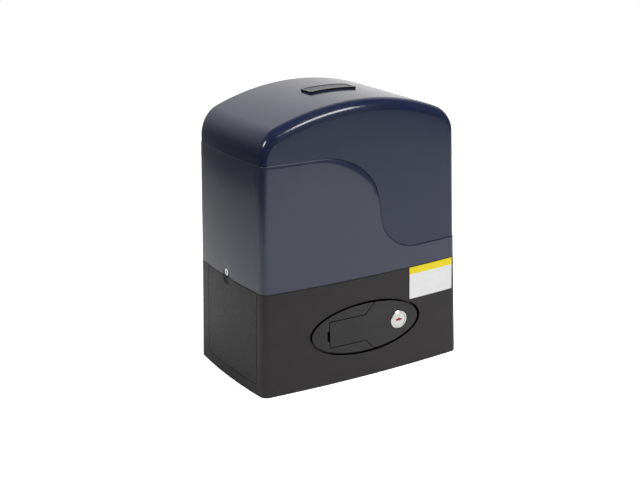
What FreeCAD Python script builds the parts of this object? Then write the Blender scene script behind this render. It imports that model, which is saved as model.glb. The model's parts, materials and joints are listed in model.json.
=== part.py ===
import FreeCAD, Part
import math
import os
import Sketcher
from FreeCAD import Vector as V, Placement, Rotation

# Sliding gate motor. Millimetres, +Z up, X along the wide face, the release lever faces -Y, the output pinion
# turns behind the back face (+Y). The origin is the centre of the underside of the lower housing.

doc = FreeCAD.newDocument("sliding_gate_motor")
sheet = doc.addObject("Spreadsheet::Sheet", "Dims")
VAL = {}


def dim(alias, value, note):
    row = len(VAL) + 1
    sheet.set("A%d" % row, note)
    sheet.set("B%d" % row, repr(value))
    sheet.setAlias("B%d" % row, alias)
    VAL[alias] = value


# housing form
dim("half_width_bottom", 138.2, "half width of the lower housing at the ground")
dim("half_width_seam", 134.5, "half width where the cover meets the lower housing")
dim("half_width_top", 130.1, "half width of the cover at its full height")
dim("half_depth_bottom", 83.25, "half depth at the ground")
dim("half_depth_seam", 81.95, "half depth at the seam")
dim("half_depth_top", 79.2, "half depth of the cover at its full height")
dim("bulge_front", 6.4, "how far the front face bows outward")
dim("bulge_side", 4.3, "how far the narrow faces bow outward")
dim("corner_radius", 8.9, "vertical corner radius")
dim("base_height", 122.0, "height of the lower housing")
dim("cover_height", 326.8, "height of the cover form's apex over the ground")
dim("arch_radius", 280.6, "radius of the arched top along X")
dim("arch_corner_radius", 34.6, "radius between the arched top and the narrow faces")
dim("edge_front_radius", 13.6, "radius of the cover's front top edge")
dim("edge_back_radius", 2.4, "radius of the cover's back top edge")
dim("base_wall", 3.5, "wall of the lower housing")
dim("cover_wall", 2.8, "wall of the two cover mouldings")
dim("cap_step", 0.6, "how far the upper cap sits inside the lower cover shell's face")
dim("seam_left_height", 267.1, "height of the cover seam on the left")
dim("seam_right_height", 147.9, "height of the cover seam on the right")
dim("seam_gap", 0.35, "gap between the two cover mouldings")
dim("floor_thick", 4.0, "floor of the lower housing")
dim("screw_height", 128.0, "height of the cover screws")
dim("screw_depth_pos", 5.0, "Y position of the cover screws")
dim("foot_slot_half_x", 120.0, "half spacing of the foot slots along X")
dim("foot_slot_half_y", 40.0, "half spacing of the foot slots along Y")
dim("foot_slot_length", 20.0, "foot slot length end to end")
dim("foot_slot_width", 11.0, "foot slot width")
# release
dim("ellipse_long", 75.5, "outer semi-axis of the release opening along X")
dim("ellipse_short", 31.4, "outer semi-axis of the release opening along Z")
dim("ellipse_height", 61.0, "height of the release opening's centre")
dim("hinge_pos_x", 64.0, "lever hinge X")
dim("hinge_pos_y", -72.0, "lever hinge Y")
dim("lock_pos_x", 45.0, "cam lock X")
dim("lock_pos_z", 60.7, "cam lock Z")
dim("lock_head_radius", 11.0, "cam lock head radius")
# drive
dim("output_pos_x", 50.0, "output shaft X")
dim("output_pos_z", 72.0, "output shaft Z")
dim("motor_pos_y", 16.0, "motor axis and worm wheel mid plane Y")
dim("worm_module", 2.5, "worm gear module")
dim("worm_teeth", 30, "worm wheel teeth")
dim("worm_pitch_radius", 12.5, "worm pitch radius")
dim("mesh_backlash", 0.55, "worm gear backlash at the pitch line")
dim("wheel_width", 18.0, "worm wheel face width")
dim("shaft_radius", 12.5, "output shaft radius")
dim("pinion_module", 4.0, "output pinion module")
dim("pinion_teeth", 16, "output pinion teeth")
dim("pinion_start", 86.0, "Y of the pinion's inner face")
dim("pinion_width", 30.0, "pinion face width")
dim("clutch_travel", 4.0, "travel of the clutch ring and release rod")
dim("lever_swing", 33.0, "degrees spanned by the release lever's spiral cam")
dim("rod_radius", 5.0, "release rod radius")
dim("stator_radius", 56.0, "stator outer radius")
dim("stator_bore", 31.4, "stator bore radius")
dim("rotor_radius", 31.0, "rotor radius")
dim("stack_low", 145.0, "bottom of the lamination stack")
dim("stack_high", 205.0, "top of the lamination stack")
dim("board_front", -51.6, "Y of the control board's component side")
dim("board_thick", 1.6, "control board thickness")
dim("grommet_pos_x", -62.0, "cable entry X")
dim("grommet_pos_y", 34.0, "cable entry Y")
dim("cable_entry_radius", 8.0, "cable entry radius")
doc.recompute()

G = VAL
SUB = []
_n = [0]


def fresh(stem):
    _n[0] += 1
    return "%s_%03d" % (stem, _n[0])


def set_to(obj, prop, value):
    """A number is set as it is, a text is an expression on the sheet."""
    if isinstance(value, str):
        obj.setExpression(prop, value)
    else:
        target = obj
        path = prop.split(".")
        if path[0] == "Placement" or path[0] == "AttachmentOffset":
            plc = getattr(obj, path[0])
            base = plc.Base
            setattr(base, path[2], value)
            plc.Base = base
            setattr(obj, path[0], plc)
        else:
            setattr(target, prop, value)


def minus(high, low):
    if isinstance(high, str) or isinstance(low, str):
        return "(%s) - (%s)" % (high, low)
    return high - low


def plus(a, b):
    if isinstance(a, str) or isinstance(b, str):
        return "(%s) + (%s)" % (a, b)
    return a + b


def num(value):
    """The value of an expression of plain arithmetic on the sheet's aliases."""
    if not isinstance(value, str):
        return float(value)
    probe = sheet.evalExpression(value) if hasattr(sheet, "evalExpression") else None
    return float(getattr(probe, "Value", probe))


def place(obj, x, y, z):
    set_to(obj, "Placement.Base.x", x)
    set_to(obj, "Placement.Base.y", y)
    set_to(obj, "Placement.Base.z", z)


def box(x0, x1, y0, y1, z0, z1):
    o = doc.addObject("Part::Box", fresh("block"))
    set_to(o, "Length", minus(x1, x0))
    set_to(o, "Width", minus(y1, y0))
    set_to(o, "Height", minus(z1, z0))
    place(o, x0, y0, z0)
    return o


TURN = {"X": Rotation(V(0, 1, 0), 90), "Y": Rotation(V(1, 0, 0), -90), "Z": Rotation()}


def cyl(axis, radius, a, b, c1, c2):
    """A cylinder along an axis from a to b; c1, c2 are the other two coordinates in X, Y, Z order."""
    o = doc.addObject("Part::Cylinder", fresh("round"))
    set_to(o, "Radius", radius)
    set_to(o, "Height", minus(b, a))
    o.Placement = Placement(V(0, 0, 0), TURN[axis])
    if axis == "X":
        place(o, a, c1, c2)
    elif axis == "Y":
        place(o, c1, a, c2)
    else:
        place(o, c1, c2, a)
    return o


def fuse(*objs):
    if len(objs) == 1:
        return objs[0]
    o = doc.addObject("Part::MultiFuse", fresh("joined"))
    o.Shapes = list(objs)
    return o


def cut(base, *tools):
    o = doc.addObject("Part::Cut", fresh("cut"))
    o.Base = base
    o.Tool = fuse(*tools)
    return o


def common(*objs):
    o = doc.addObject("Part::MultiCommon", fresh("common"))
    o.Shapes = list(objs)
    return o


def group(*objs):
    o = doc.addObject("Part::Compound", fresh("group"))
    o.Links = list(objs)
    return o


def feature(shape):
    o = doc.addObject("Part::Feature", fresh("form"))
    o.Shape = shape
    return o


def node(label, obj):
    obj.Label = label
    SUB.append(obj)
    return obj


# ---- PartDesign helpers -------------------------------------------------------------------------------------------

ROLE = {"XY": "XY_Plane", "XZ": "XZ_Plane", "YZ": "YZ_Plane"}


def new_body(x=0, y=0, z=0):
    b = doc.addObject("PartDesign::Body", fresh("body"))
    place(b, x, y, z)
    return b


def sketch(b, plane, offset=0):
    s = b.newObject("Sketcher::SketchObject", fresh("profile"))
    origin_plane = [f for f in b.Origin.OriginFeatures if f.Role == ROLE[plane]][0]
    s.AttachmentSupport = [(origin_plane, "")]
    s.MapMode = "FlatFace"
    set_to(s, "AttachmentOffset.Base.z", offset)
    return s


def pin_point(s, geo, pos, x, y):
    """Fixes one sketch point by its two distances from the sketch's origin, bound to the sheet."""
    for kind, value, axis_geo in (("DistanceX", x, -2), ("DistanceY", y, -1)):
        v = num(value)
        if abs(v) < 1e-9:
            s.addConstraint(Sketcher.Constraint("PointOnObject", geo, pos, axis_geo))
            continue
        if v > 0:
            i = s.addConstraint(Sketcher.Constraint(kind, -1, 1, geo, pos, v))
            text = value if isinstance(value, str) else None
        else:
            i = s.addConstraint(Sketcher.Constraint(kind, geo, pos, -1, 1, -v))
            text = "-(%s)" % value if isinstance(value, str) else None
        if text:
            s.setExpression("Constraints[%d]" % i, text)


def poly(s, pts):
    first = s.GeometryCount
    xy = [(num(px), num(py)) for px, py in pts]
    n = len(pts)
    for k in range(n):
        p, q = xy[k], xy[(k + 1) % n]
        s.addGeometry(Part.LineSegment(V(p[0], p[1], 0), V(q[0], q[1], 0)), False)
    for k in range(n):
        s.addConstraint(Sketcher.Constraint("Coincident", first + k, 2, first + (k + 1) % n, 1))
    for k in range(n):
        pin_point(s, first + k, 1, pts[k][0], pts[k][1])


def rect(s, x0, x1, y0, y1):
    poly(s, [(x0, y0), (x1, y0), (x1, y1), (x0, y1)])


def ring(s, cx, cy, radius):
    g = s.addGeometry(Part.Circle(V(num(cx), num(cy), 0), V(0, 0, 1), num(radius)), False)
    i = s.addConstraint(Sketcher.Constraint("Radius", g, num(radius)))
    if isinstance(radius, str):
        s.setExpression("Constraints[%d]" % i, radius)
    pin_point(s, g, 3, cx, cy)


def pad(b, plane, low, high, draw):
    """A pad of the drawn profile between two coordinates along the plane's axis."""
    # the XZ plane's own normal looks towards -Y, so its pad starts from the high side
    s = sketch(b, plane, minus(0, high) if plane == "XZ" else low)
    draw(s)
    p = b.newObject("PartDesign::Pad", fresh("pad"))
    p.Profile = s
    set_to(p, "Length", minus(high, low))
    b.Tip = p
    return p


def revolve(b, plane, pts_list):
    """Turns closed profiles of (radius, height) about the sketch's vertical axis."""
    s = sketch(b, plane)
    for pts in pts_list:
        poly(s, pts)
    r = b.newObject("PartDesign::Revolution", fresh("turned"))
    r.Profile = s
    r.ReferenceAxis = (s, ["V_Axis"])
    r.Angle = 360.0
    b.Tip = r
    return r


def turned(axis, pts, x=0, y=0, z=0):
    """One turned piece about the Y or Z axis through (x, y, z)."""
    b = new_body(x, y, z)
    revolve(b, "XY" if axis == "Y" else "XZ", [pts])
    return b


def tube(axis, r_in, r_out, a, b_, x=0, y=0, z=0):
    return turned(axis, [(r_in, a), (r_out, a), (r_out, b_), (r_in, b_)], x, y, z)


# ---- housing form ---------------------------------------------------------------------------------------------------


def outline(half_w, half_d, z):
    a, d = half_w - G["bulge_side"], half_d - G["bulge_front"]
    p1, p2, p3, p4 = V(-a, -d, z), V(a, -d, z), V(a, half_d, z), V(-a, half_d, z)
    ym = (half_d - d) / 2
    return Part.Wire(
        [
            Part.Arc(p1, V(0, -half_d, z), p2).toShape(),
            Part.Arc(p2, V(half_w, ym, z), p3).toShape(),
            Part.LineSegment(p3, p4).toShape(),
            Part.Arc(p4, V(-half_w, ym, z), p1).toShape(),
        ]
    )


def base_form(off, low=0.0, high=None):
    """The lower housing's outer form, moved outward by off, between two heights."""
    high = G["base_height"] if high is None else high
    k = lambda z, a, b: a + (b - a) * z / G["base_height"]
    w = [
        outline(
            k(z, G["half_width_bottom"], G["half_width_seam"]) + off,
            k(z, G["half_depth_bottom"], G["half_depth_seam"]) + off,
            z,
        )
        for z in (low, high)
    ]
    s = Part.makeLoft(w, True, True)
    edges = [e for e in s.Edges if e.BoundBox.ZLength > (high - low) * 0.5]
    return s.makeFillet(max(G["corner_radius"] + off, 1.0), edges).Solids[0]


def cover_form(off, low=None):
    """The cover's outer form, moved outward by off, from the seam up to the arched top."""
    low = G["base_height"] if low is None else low
    top = 344.0
    rate = (top - G["base_height"]) / (G["cover_height"] - G["base_height"])
    w1 = G["half_width_seam"] + (G["half_width_top"] - G["half_width_seam"]) * rate
    d1 = G["half_depth_seam"] + (G["half_depth_top"] - G["half_depth_seam"]) * rate
    s = Part.makeLoft(
        [
            outline(G["half_width_seam"] + off, G["half_depth_seam"] + off, G["base_height"]),
            outline(w1 + off, d1 + off, top),
        ],
        True,
        True,
    )
    r = G["arch_radius"]
    s = s.common(Part.makeCylinder(r + off, 400, V(0, -200, G["cover_height"] - r), V(0, 1, 0)))
    shoulders = [e for e in s.Edges if e.BoundBox.ZMin > 250 and e.BoundBox.YLength > 100 and abs(e.BoundBox.XMax) > 110]
    s = s.makeFillet(G["arch_corner_radius"] + off, shoulders).Solids[0]
    spec = []
    for i, e in enumerate(s.Edges, 1):
        b = e.BoundBox
        front, back = b.YMax < -60, b.YMin > 70
        if b.ZMax < G["base_height"] + 1 or not (front or back):
            continue
        top_r = max((G["edge_front_radius"] if front else G["edge_back_radius"]) + off, 0.6)
        side_r = G["corner_radius"] + off
        z0 = e.valueAt(e.FirstParameter).z
        z1 = e.valueAt(e.LastParameter).z
        if b.ZMin < G["base_height"] + 1.5:
            spec.append((i, side_r, side_r))
        elif b.ZMin < 276:
            spec.append((i, side_r, top_r) if z0 < z1 else (i, top_r, side_r))
        else:
            spec.append((i, top_r, top_r))
    plain = feature(s)
    f = doc.addObject("Part::Fillet", fresh("rounded"))
    f.Base = plain
    f.Edges = spec
    doc.recompute()
    out = f.Shape.Solids[0].copy()
    doc.removeObject(f.Name)
    doc.removeObject(plain.Name)
    return out


SEAM = [
    (-39, 265.7), (-26.4, 262.1), (-13.6, 256.3), (-0.6, 246.9), (6.3, 240.1), (12.8, 230.4), (17.2, 218.2),
    (19.3, 204.0), (20.9, 188.2), (25.6, 173.6), (32.8, 163.8), (40.0, 157.4), (54.2, 150.4),
]


def seam_points(shift):
    """Points of the cover's S-shaped seam, moved along its normal by shift (up and right are positive)."""
    pts = [V(-54, 0, G["seam_left_height"])] + [V(x, 0, z) for x, z in SEAM] + [V(72, 0, G["seam_right_height"])]
    c = Part.BSplineCurve()
    c.interpolate(Points=pts, InitialTangent=V(1, 0, 0), FinalTangent=V(1, 0, 0))
    out = []
    count = 48
    for k in range(count + 1):
        u = c.FirstParameter + (c.LastParameter - c.FirstParameter) * k / count
        p, t = c.value(u), c.tangent(u)[0]
        out.append(V(p.x - t.z * shift, 0, p.z + t.x * shift))
    return out


def under_seam(shift):
    """Everything below the seam moved by shift."""
    pts = [p + V(0, -120, 0) for p in seam_points(shift)]
    c = Part.BSplineCurve()
    c.interpolate(Points=pts, InitialTangent=V(1, 0, 0), FinalTangent=V(1, 0, 0))
    a, b = pts[0], pts[-1]
    left, right = V(-170, -120, a.z), V(170, -120, b.z)
    low_r, low_l = V(170, -120, 100), V(-170, -120, 100)
    w = Part.Wire(
        [
            Part.makeLine(left, a), c.toShape(), Part.makeLine(b, right), Part.makeLine(right, low_r),
            Part.makeLine(low_r, low_l), Part.makeLine(low_l, left),
        ]
    )
    return Part.Face(w).extrude(V(0, 240, 0))


def mbox(x0, x1, y0, y1, z0, z1):
    return Part.makeBox(x1 - x0, y1 - y0, z1 - z0, V(x0, y0, z0))


def mcyl(axis, r, a, b, c1, c2):
    d = {"X": V(1, 0, 0), "Y": V(0, 1, 0), "Z": V(0, 0, 1)}[axis]
    p = {"X": V(a, c1, c2), "Y": V(c1, a, c2), "Z": V(c1, c2, a)}[axis]
    return Part.makeCylinder(r, b - a, p, d)


def one(shape):
    """The single solid of a shape, after merging split faces."""
    s = shape.removeSplitter()
    if not s.isValid():
        s = shape
    return s.Solids[0] if len(s.Solids) == 1 else s


def add_all(base, pieces):
    for p in pieces:
        base = base.fuse(p)
    return base


def cut_all(base, tools):
    for t in tools:
        base = base.cut(t)
    return base


hb = G["base_height"]
sy, sz = G["screw_depth_pos"], G["screw_height"]
recess_z, recess_r, recess_deep = 123.3, 10.25, 1.6

# lower and upper cover mouldings: the lower shell stands 0.6 proud of the cap and carries a recess for each screw
cover_0 = cover_form(0.0)
cover_in = cover_form(-G["cover_wall"])
head_floor = cover_form(-3.2)
recess_back = cover_form(-6.0)


def scoop(side):
    """A shallow round hollow around a cover screw, cut as part of a large ball."""
    r = (recess_r ** 2 + recess_deep ** 2) / (2 * recess_deep)
    return Part.makeSphere(r, V(side * (G["half_width_seam"] + r - recess_deep), sy, recess_z))


shell = cover_0.cut(cover_in)
lower = shell.common(under_seam(-G["seam_gap"] / 2))
pots, holes = [], []
for side in (-1, 1):
    x0, x1 = (-150, -100) if side < 0 else (100, 150)
    pots.append(cover_form(-1.0).cut(recess_back).common(mcyl("X", recess_r + 2.2, x0, x1, sy, recess_z)))
    holes.append(scoop(side))
    holes.append(mcyl("X", 5.0, x0, x1, sy, sz).cut(head_floor))
    holes.append(mbox(x0, x1, sy - 2.5, sy + 2.5, hb - 5, sz))
    holes.append(mcyl("X", 2.5, x0, x1, sy, sz))
holes.append(mbox(-160, 160, -100, 100, hb - 1, hb + 0.4))
lower = cut_all(add_all(lower, pots), holes)
node("cover_lower_shell", feature(one(lower)))

step = G["cap_step"]
cap_0 = cover_form(-step)
cap_in = cover_form(-step - G["cover_wall"])
lip_0 = cover_form(-3.1)
lip_in = cover_form(-4.6)
cap = cap_0.cut(cap_in).cut(under_seam(G["seam_gap"] / 2))
lip_top = under_seam(2.0)
lip = lip_0.common(lip_top).cut(lip_in.common(lip_top)).cut(under_seam(-4.0))
cap = cap.fuse(lip)
node("cover_upper_cap", feature(one(cap)))

# lower housing: drafted shell with a floor, end compartments over the foot slots, a rim and a locating lip
base_0 = base_form(0.0)
shadow = mbox(-160, 160, -100, 100, hb - 0.5, hb + 1).cut(base_form(-0.7, 0.0, hb + 2))
wall_in = base_form(-G["base_wall"], G["floor_thick"], hb)
base = base_0.cut(wall_in)
rim = base_form(-3.0, 113.5, hb).cut(base_form(-5.6, 113.0, hb))
ends = base_form(-3.0, 3.0, hb).cut(base_form(-6.2, 2.0, hb))
ends = ends.common(Part.makeCompound([mbox(-150, -116, -68, 64, 3, hb), mbox(116, 150, -68, 64, 3, hb)]))
lip_ring = cover_form(-3.25).cut(cover_form(-5.4)).common(mbox(-150, 150, -100, 100, hb - 0.5, hb + 5))
parts_add = [rim, ends, lip_ring]
for s in (-1, 1):
    xa, xb = sorted((s * 104.5, s * 107.5))
    bulk = mbox(xa, xb, -90, 90, 3, 124).common(cover_form(-2.0).fuse(base_form(-2.0, 3.0, hb)))
    bulk = bulk.cut(mbox(xa - 1, xb + 1, -90, -72, hb - 2, 130)).cut(mbox(xa - 1, xb + 1, 72, 90, hb - 2, 130))
    parts_add.append(bulk)
    xa, xb = sorted((s * 130.2, s * 117.0))
    parts_add.append(mbox(xa, xb, sy - 8, sy + 8, 98, 121.0))
    xa, xb = sorted((s * 127.7, s * 117.0))
    parts_add.append(mbox(xa, xb, sy - 8, sy + 8, 98, 137))
gear_feet = [(-17, 2), (-17, 54), (92, 2), (92, 54)]
for gx, gy in gear_feet:
    parts_add.append(mcyl("Z", 9.0, 3.5, 10.0, gx, gy))
parts_add.append(mcyl("Z", 19.0, 3.5, 7.0, G["grommet_pos_x"], G["grommet_pos_y"]))
base = add_all(base, parts_add)
cuts = []
for s in (-1, 1):
    xa, xb = sorted((s * 150.0, s * 100.0))
    pocket = mbox(xa, xb, -62, 58, 12, hb + 1).cut(base_form(-3.2, 0.0, hb).fuse(mbox(-150, 150, -90, 90, hb, hb + 9)))
    cuts.append(pocket)
    xa, xb = sorted((s * 150.0, s * 108.0))
    cuts.append(mbox(xa, xb, -55, 51, 19, 96))
    xa, xb = sorted((s * 150.0, s * 118.0))
    cuts.append(mbox(xa, xb, sy - 14, sy + 14, hb, hb + 9).cut(mbox(-127.7, 127.7, sy - 8, sy + 8, hb, hb + 9)))
    xa, xb = sorted((s * 150.0, s * 112.0))
    cuts.append(mcyl("X", 2.0, xa, xb, sy, sz))
    for t in (-1, 1):
        fx, fy = s * G["foot_slot_half_x"], t * G["foot_slot_half_y"]
        h, w = (G["foot_slot_length"] - G["foot_slot_width"]) / 2, G["foot_slot_width"] / 2
        cuts.append(mbox(fx - h, fx + h, fy - w, fy + w, -1, 6))
        cuts.append(mcyl("Z", w, -1, 6, fx - h, fy))
        cuts.append(mcyl("Z", w, -1, 6, fx + h, fy))
for gx, gy in gear_feet:
    cuts.append(mcyl("Z", 3.2, -1, 11, gx, gy))
    cuts.append(mcyl("Z", 6.0, -1, 5.0, gx, gy))
cuts.append(mcyl("Z", 14.0, -1, 8, G["grommet_pos_x"], G["grommet_pos_y"]))
cuts.append(mcyl("Y", 31.4, 70, 95, G["output_pos_x"], G["output_pos_z"]))


def oval(long, short, y0, y1, x=0.0):
    pts = []
    for k in range(72):
        t = 2 * math.pi * k / 72
        pts.append(V(x + long * math.cos(t), y0, G["ellipse_height"] + short * math.sin(t)))
    c = Part.BSplineCurve()
    c.interpolate(Points=pts, PeriodicFlag=True)
    return Part.Face(Part.Wire([c.toShape()])).extrude(V(0, y1 - y0, 0))


cuts.append(oval(G["ellipse_long"], G["ellipse_short"], -90, -60))
cuts.append(shadow)
base = one(cut_all(base, cuts))
node("base_housing", feature(base))

# end panels over the foot bolts, with the lower half of the screw recess
for s, name in ((-1, "end_panel_left"), (1, "end_panel_right")):
    xa, xb = sorted((s * 150.0, s * 100.0))
    skin = base_form(0.0).cut(base_form(-2.85, 0.0, hb)).common(mbox(xa, xb, -61.3, 57.3, 12.7, hb - 0.7))
    skin = skin.cut(scoop(s))
    # stiffening ribs that stand into the compartment behind
    ribs = []
    for y in (-40, 0, 36):
        rb = base_form(-2.7).cut(base_form(-6.0, 0.0, hb)).common(mbox(xa, xb, y - 1, y + 1, 21, 94))
        ribs.append(rb)
    node(name, feature(one(add_all(skin, ribs))))

# cover screws: chrome heads in the recess, shanks into the housing bosses
for_screws = []
for s in (-1, 1):
    seat = 131.3
    a, b = sorted((s * seat, s * (seat + 3.2)))
    head = cyl("X", 4.0, a, b, "Dims.screw_depth_pos", "Dims.screw_height")
    a, b = sorted((s * 119.0, s * seat))
    shank = cyl("X", 1.95, a, b, "Dims.screw_depth_pos", "Dims.screw_height")
    a, b = sorted((s * (seat + 1.7), s * (seat + 3.6)))
    slot1 = box(a, b, sy - 2.6, sy + 2.6, sz - 0.5, sz + 0.5)
    slot2 = box(a, b, sy - 0.5, sy + 0.5, sz - 2.6, sz + 2.6)
    for_screws.append(cut(fuse(head, shank), slot1, slot2))
node("cover_screws", group(*for_screws))

# badge on the arched top: dark bezel and bare plate
bx, by = 3.0, 3.0
arch_c = (0.0, G["cover_height"] - G["arch_radius"])


def arch_slab(low, high):
    r = G["arch_radius"] - step
    return mcyl("Y", r + high, -60, 60, arch_c[0], arch_c[1]).cut(mcyl("Y", r + low, -60, 60, arch_c[0], arch_c[1]))


def round_block(x0, x1, y0, y1, z0, z1, r):
    b = mbox(x0, x1, y0, y1, z0, z1)
    return b.makeFillet(r, [e for e in b.Edges if e.BoundBox.ZLength > (z1 - z0) * 0.9])


bezel = round_block(bx - 31, bx + 31, by - 12, by + 12, 310, 340, 3.0).common(arch_slab(0.0, 2.4))
inner = round_block(bx - 28.2, bx + 28.2, by - 9.2, by + 9.2, 310, 340, 1.6)
bezel = bezel.cut(inner.common(arch_slab(0.9, 5.0)))
node("badge_bezel", feature(one(bezel)))
plate = round_block(bx - 28.1, bx + 28.1, by - 9.1, by + 9.1, 310, 340, 1.5).common(arch_slab(0.9, 1.9))
node("badge_plate", feature(one(plate)))

# label plate on the lower housing's front
lab = base_form(0.35).cut(base_form(0.02, 0.0, hb)).common(mbox(60.6, 124.5, -95, -60, 82.5, 121.3))
node("label_plate", feature(one(lab)))

# ---- release ------------------------------------------------------------------------------------------------------
hx, hy, ez = G["hinge_pos_x"], G["hinge_pos_y"], G["ellipse_height"]
front_plate = base_form(-0.2).cut(base_form(-4.2, 0.0, hb)).common(mbox(-100, 100, -100, -50, 10, 110))
front_thick = base_form(-0.2).cut(base_form(-6.2, 0.0, hb)).common(mbox(-100, 100, -100, -50, 10, 110))


def lever_face(grow):
    """The lever's outline in X and Z: a tab and the flared part up to the ellipse, grown by grow."""
    g = grow
    pts = [
        (-49 - g, 45.2 - g), (-1 - 0.43 * g, 45.2 - g), (15 - 0.72 * g, 28.4 - 0.69 * g), (15 - 0.72 * g, 12), (90, 12), (90, 110),
        (15 - 0.72 * g, 110), (15 - 0.72 * g, 92.6 + 0.69 * g), (-1 - 0.43 * g, 75.8 + g), (-49 - g, 75.8 + g),
    ]
    w = Part.makePolygon([V(x, -100, z) for x, z in pts + pts[:1]])
    return Part.Face(w).extrude(V(0, 60, 0))


inner_oval = oval(72.0, 28.6, -100, -50)
boss = mcyl("Z", 5.0, 46.8, 75.2, hx, hy)
web = mbox(hx - 6, hx + 2, -82.0, hy, 50, 72).common(base_form(-2.0))
rib1 = base_form(-4.0).cut(base_form(-7.0, 0.0, hb)).common(mbox(-44, 7.5, -100, -50, 54, 56))
rib2 = base_form(-4.0).cut(base_form(-7.0, 0.0, hb)).common(mbox(-44, 7.5, -100, -50, 65, 67))
cam_pts = []
steps = 24
for k in range(steps + 1):
    ang = math.radians(90 - G["lever_swing"] * k / steps)
    r = 8.0 + G["clutch_travel"] * k / steps
    cam_pts.append(V(hx + r * math.cos(ang), hy + r * math.sin(ang), 68.5))
for k in range(1, 7):
    ang = math.radians(90 + 15 * k)
    r = 8.0 - 0.4 * k
    cam_pts.insert(0, V(hx + r * math.cos(ang), hy + r * math.sin(ang), 68.5))
cam_curve = Part.BSplineCurve()
cam_curve.interpolate(Points=cam_pts)
tail = [cam_pts[-1], V(hx + 9.5, hy - 2.2, 68.5), V(hx + 4.0, hy - 3.6, 68.5), V(hx - 3, hy - 3.6, 68.5), cam_pts[0]]
cam_wire = Part.Wire([cam_curve.toShape()] + Part.makePolygon(tail).Edges)
cam = Part.Face(cam_wire).extrude(V(0, 0, 5.0))
lever = add_all(front_plate.common(inner_oval).common(lever_face(0.0)), [boss, web, rib1, rib2, cam])
lock_x, lock_z = G["lock_pos_x"], G["lock_pos_z"]
lever = cut_all(lever, [mcyl("Z", 2.05, 40, 90, hx, hy), mcyl("Y", 9.6, -100, -70, lock_x, lock_z), mcyl("Y", 12.0, -100, -80.9, lock_x, lock_z)])
node("release_lever", feature(one(lever)))

# fixed surround: C-shaped face left of the lever, groove bottom ring, finger pocket, hinge ears and lock keeper
c_face = front_thick.common(inner_oval).cut(lever_face(1.0))
ring_zone = base_form(-4.6).cut(base_form(-6.8, 0.0, hb)).common(mbox(-100, 100, -100, -50, 10, 110))
ring_left = ring_zone.common(oval(80, 36, -100, -50)).cut(oval(69.5, 26.1, -100, -50)).common(mbox(-100, 13.5, -100, -50, 10, 110))
ring_right = ring_zone.common(oval(80, 36, -100, -50)).cut(oval(73, 29.6, -100, -50)).common(mbox(13, 100, -100, -50, 10, 110))
ring_right = ring_right.cut(mcyl("Z", 17.6, 46.2, 75.9, hx, hy))
pan_out = oval(62, 26, -77.6, -62).common(mbox(-70, 11, -90, -50, 30, 92)).common(base_form(-5.0))
pan_in = oval(59.6, 23.6, -100, -64.4).common(mbox(-70, 8.6, -101, -50, 30, 92))
pan = pan_out.cut(pan_in)
ears = [mcyl("Z", 4.9, 76.0, 82.0, hx, hy), mcyl("Z", 4.9, 40.0, 46.0, hx, hy)]
ear_webs = [
    mbox(hx - 4.9, hx + 4.9, -78, hy, 76.0, 82.0).common(base_form(-4.6)),
    mbox(hx - 4.9, hx + 4.9, -78, hy, 40.0, 46.0).common(base_form(-4.6)),
]
keeper = mbox(38, 52, -78, -61.4, 90.4, 93.4).common(base_form(-4.6)).fuse(mbox(38, 52, -64.2, -61.4, 80.0, 92.0))
surround = add_all(c_face, [ring_left, ring_right, pan, keeper] + ears + ear_webs)
finger = mbox(-52.4, -50.05, -100, -70, 53, 65.5)
surround = cut_all(surround, [mcyl("Z", 2.0, 39, 83, hx, hy), finger])
node("release_surround", feature(one(surround)))

node("lever_pin", turned("Z", [(0, 40.2), (1.98, 40.2), (1.98, 81.8), (0, 81.8)], "Dims.hinge_pos_x", "Dims.hinge_pos_y", 0))

# cam lock: barrel and ring nut in the lever, plug that turns in the barrel, tongue on the plug's end
lx, lz = "Dims.lock_pos_x", "Dims.lock_pos_z"
barrel = turned(
    "Y",
    [(8.7, -82.6), (10.3, -82.6), ("Dims.lock_head_radius", -82.0), ("Dims.lock_head_radius", -80.9), (9.5, -80.9), (9.5, -62.5), (6.56, -62.5), (6.56, -81.3), (8.7, -81.3)],
    lx, 0, lz,
)
node("lock_barrel", barrel)
plug_body = turned("Y", [(0, -82.45), (8.3, -82.45), (8.6, -82.2), (8.6, -81.4), (6.5, -81.4), (6.5, -60.4), (2.9, -60.4), (2.9, -55.2), (0, -55.2)], lx, 0, lz)
node("lock_plug", cut(plug_body, box(41.2, 48.4, -84, -81.6, 60.05, 61.35), box(44.5, 45.3, -84, -81.7, 61.2, 62.7), box(47.2, 48.8, -84, -72, 59.9, 61.5)))
nut = new_body(lx, 0, lz)
pad(nut, "XZ", -77.0, -73.8, lambda s: (poly(s, [(12.2 * math.cos(math.radians(60 * k)), 12.2 * math.sin(math.radians(60 * k))) for k in range(6)]), ring(s, 0, 0, 9.5)))
node("lock_nut", nut)
tongue = cut(
    fuse(box(20.9, 45.0, -60.3, -57.8, "Dims.lock_pos_z - 4.5", "Dims.lock_pos_z + 4.5"), cyl("Y", 6.4, -60.3, -57.8, lx, lz)),
    cyl("Y", 2.9, -61, -57, lx, lz),
)
node("lock_tongue", tongue)

# release rod: slides into the hollow output shaft, its pad follows the lever's spiral cam
ox, oz = "Dims.output_pos_x", "Dims.output_pos_z"
rod = fuse(
    cyl("Y", "Dims.rod_radius", -54.0, 30.7, ox, oz),
    box(44, 69, -54.0, -50.0, 67, 77),
    box(62.0, 66.0, "Dims.hinge_pos_y + 11.5", -53.5, 68.6, 73.4),
    box(63.4, 64.6, "Dims.hinge_pos_y + 8.85", -53.5, 68.6, 73.4),
)
node("release_rod", rod)

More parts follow.
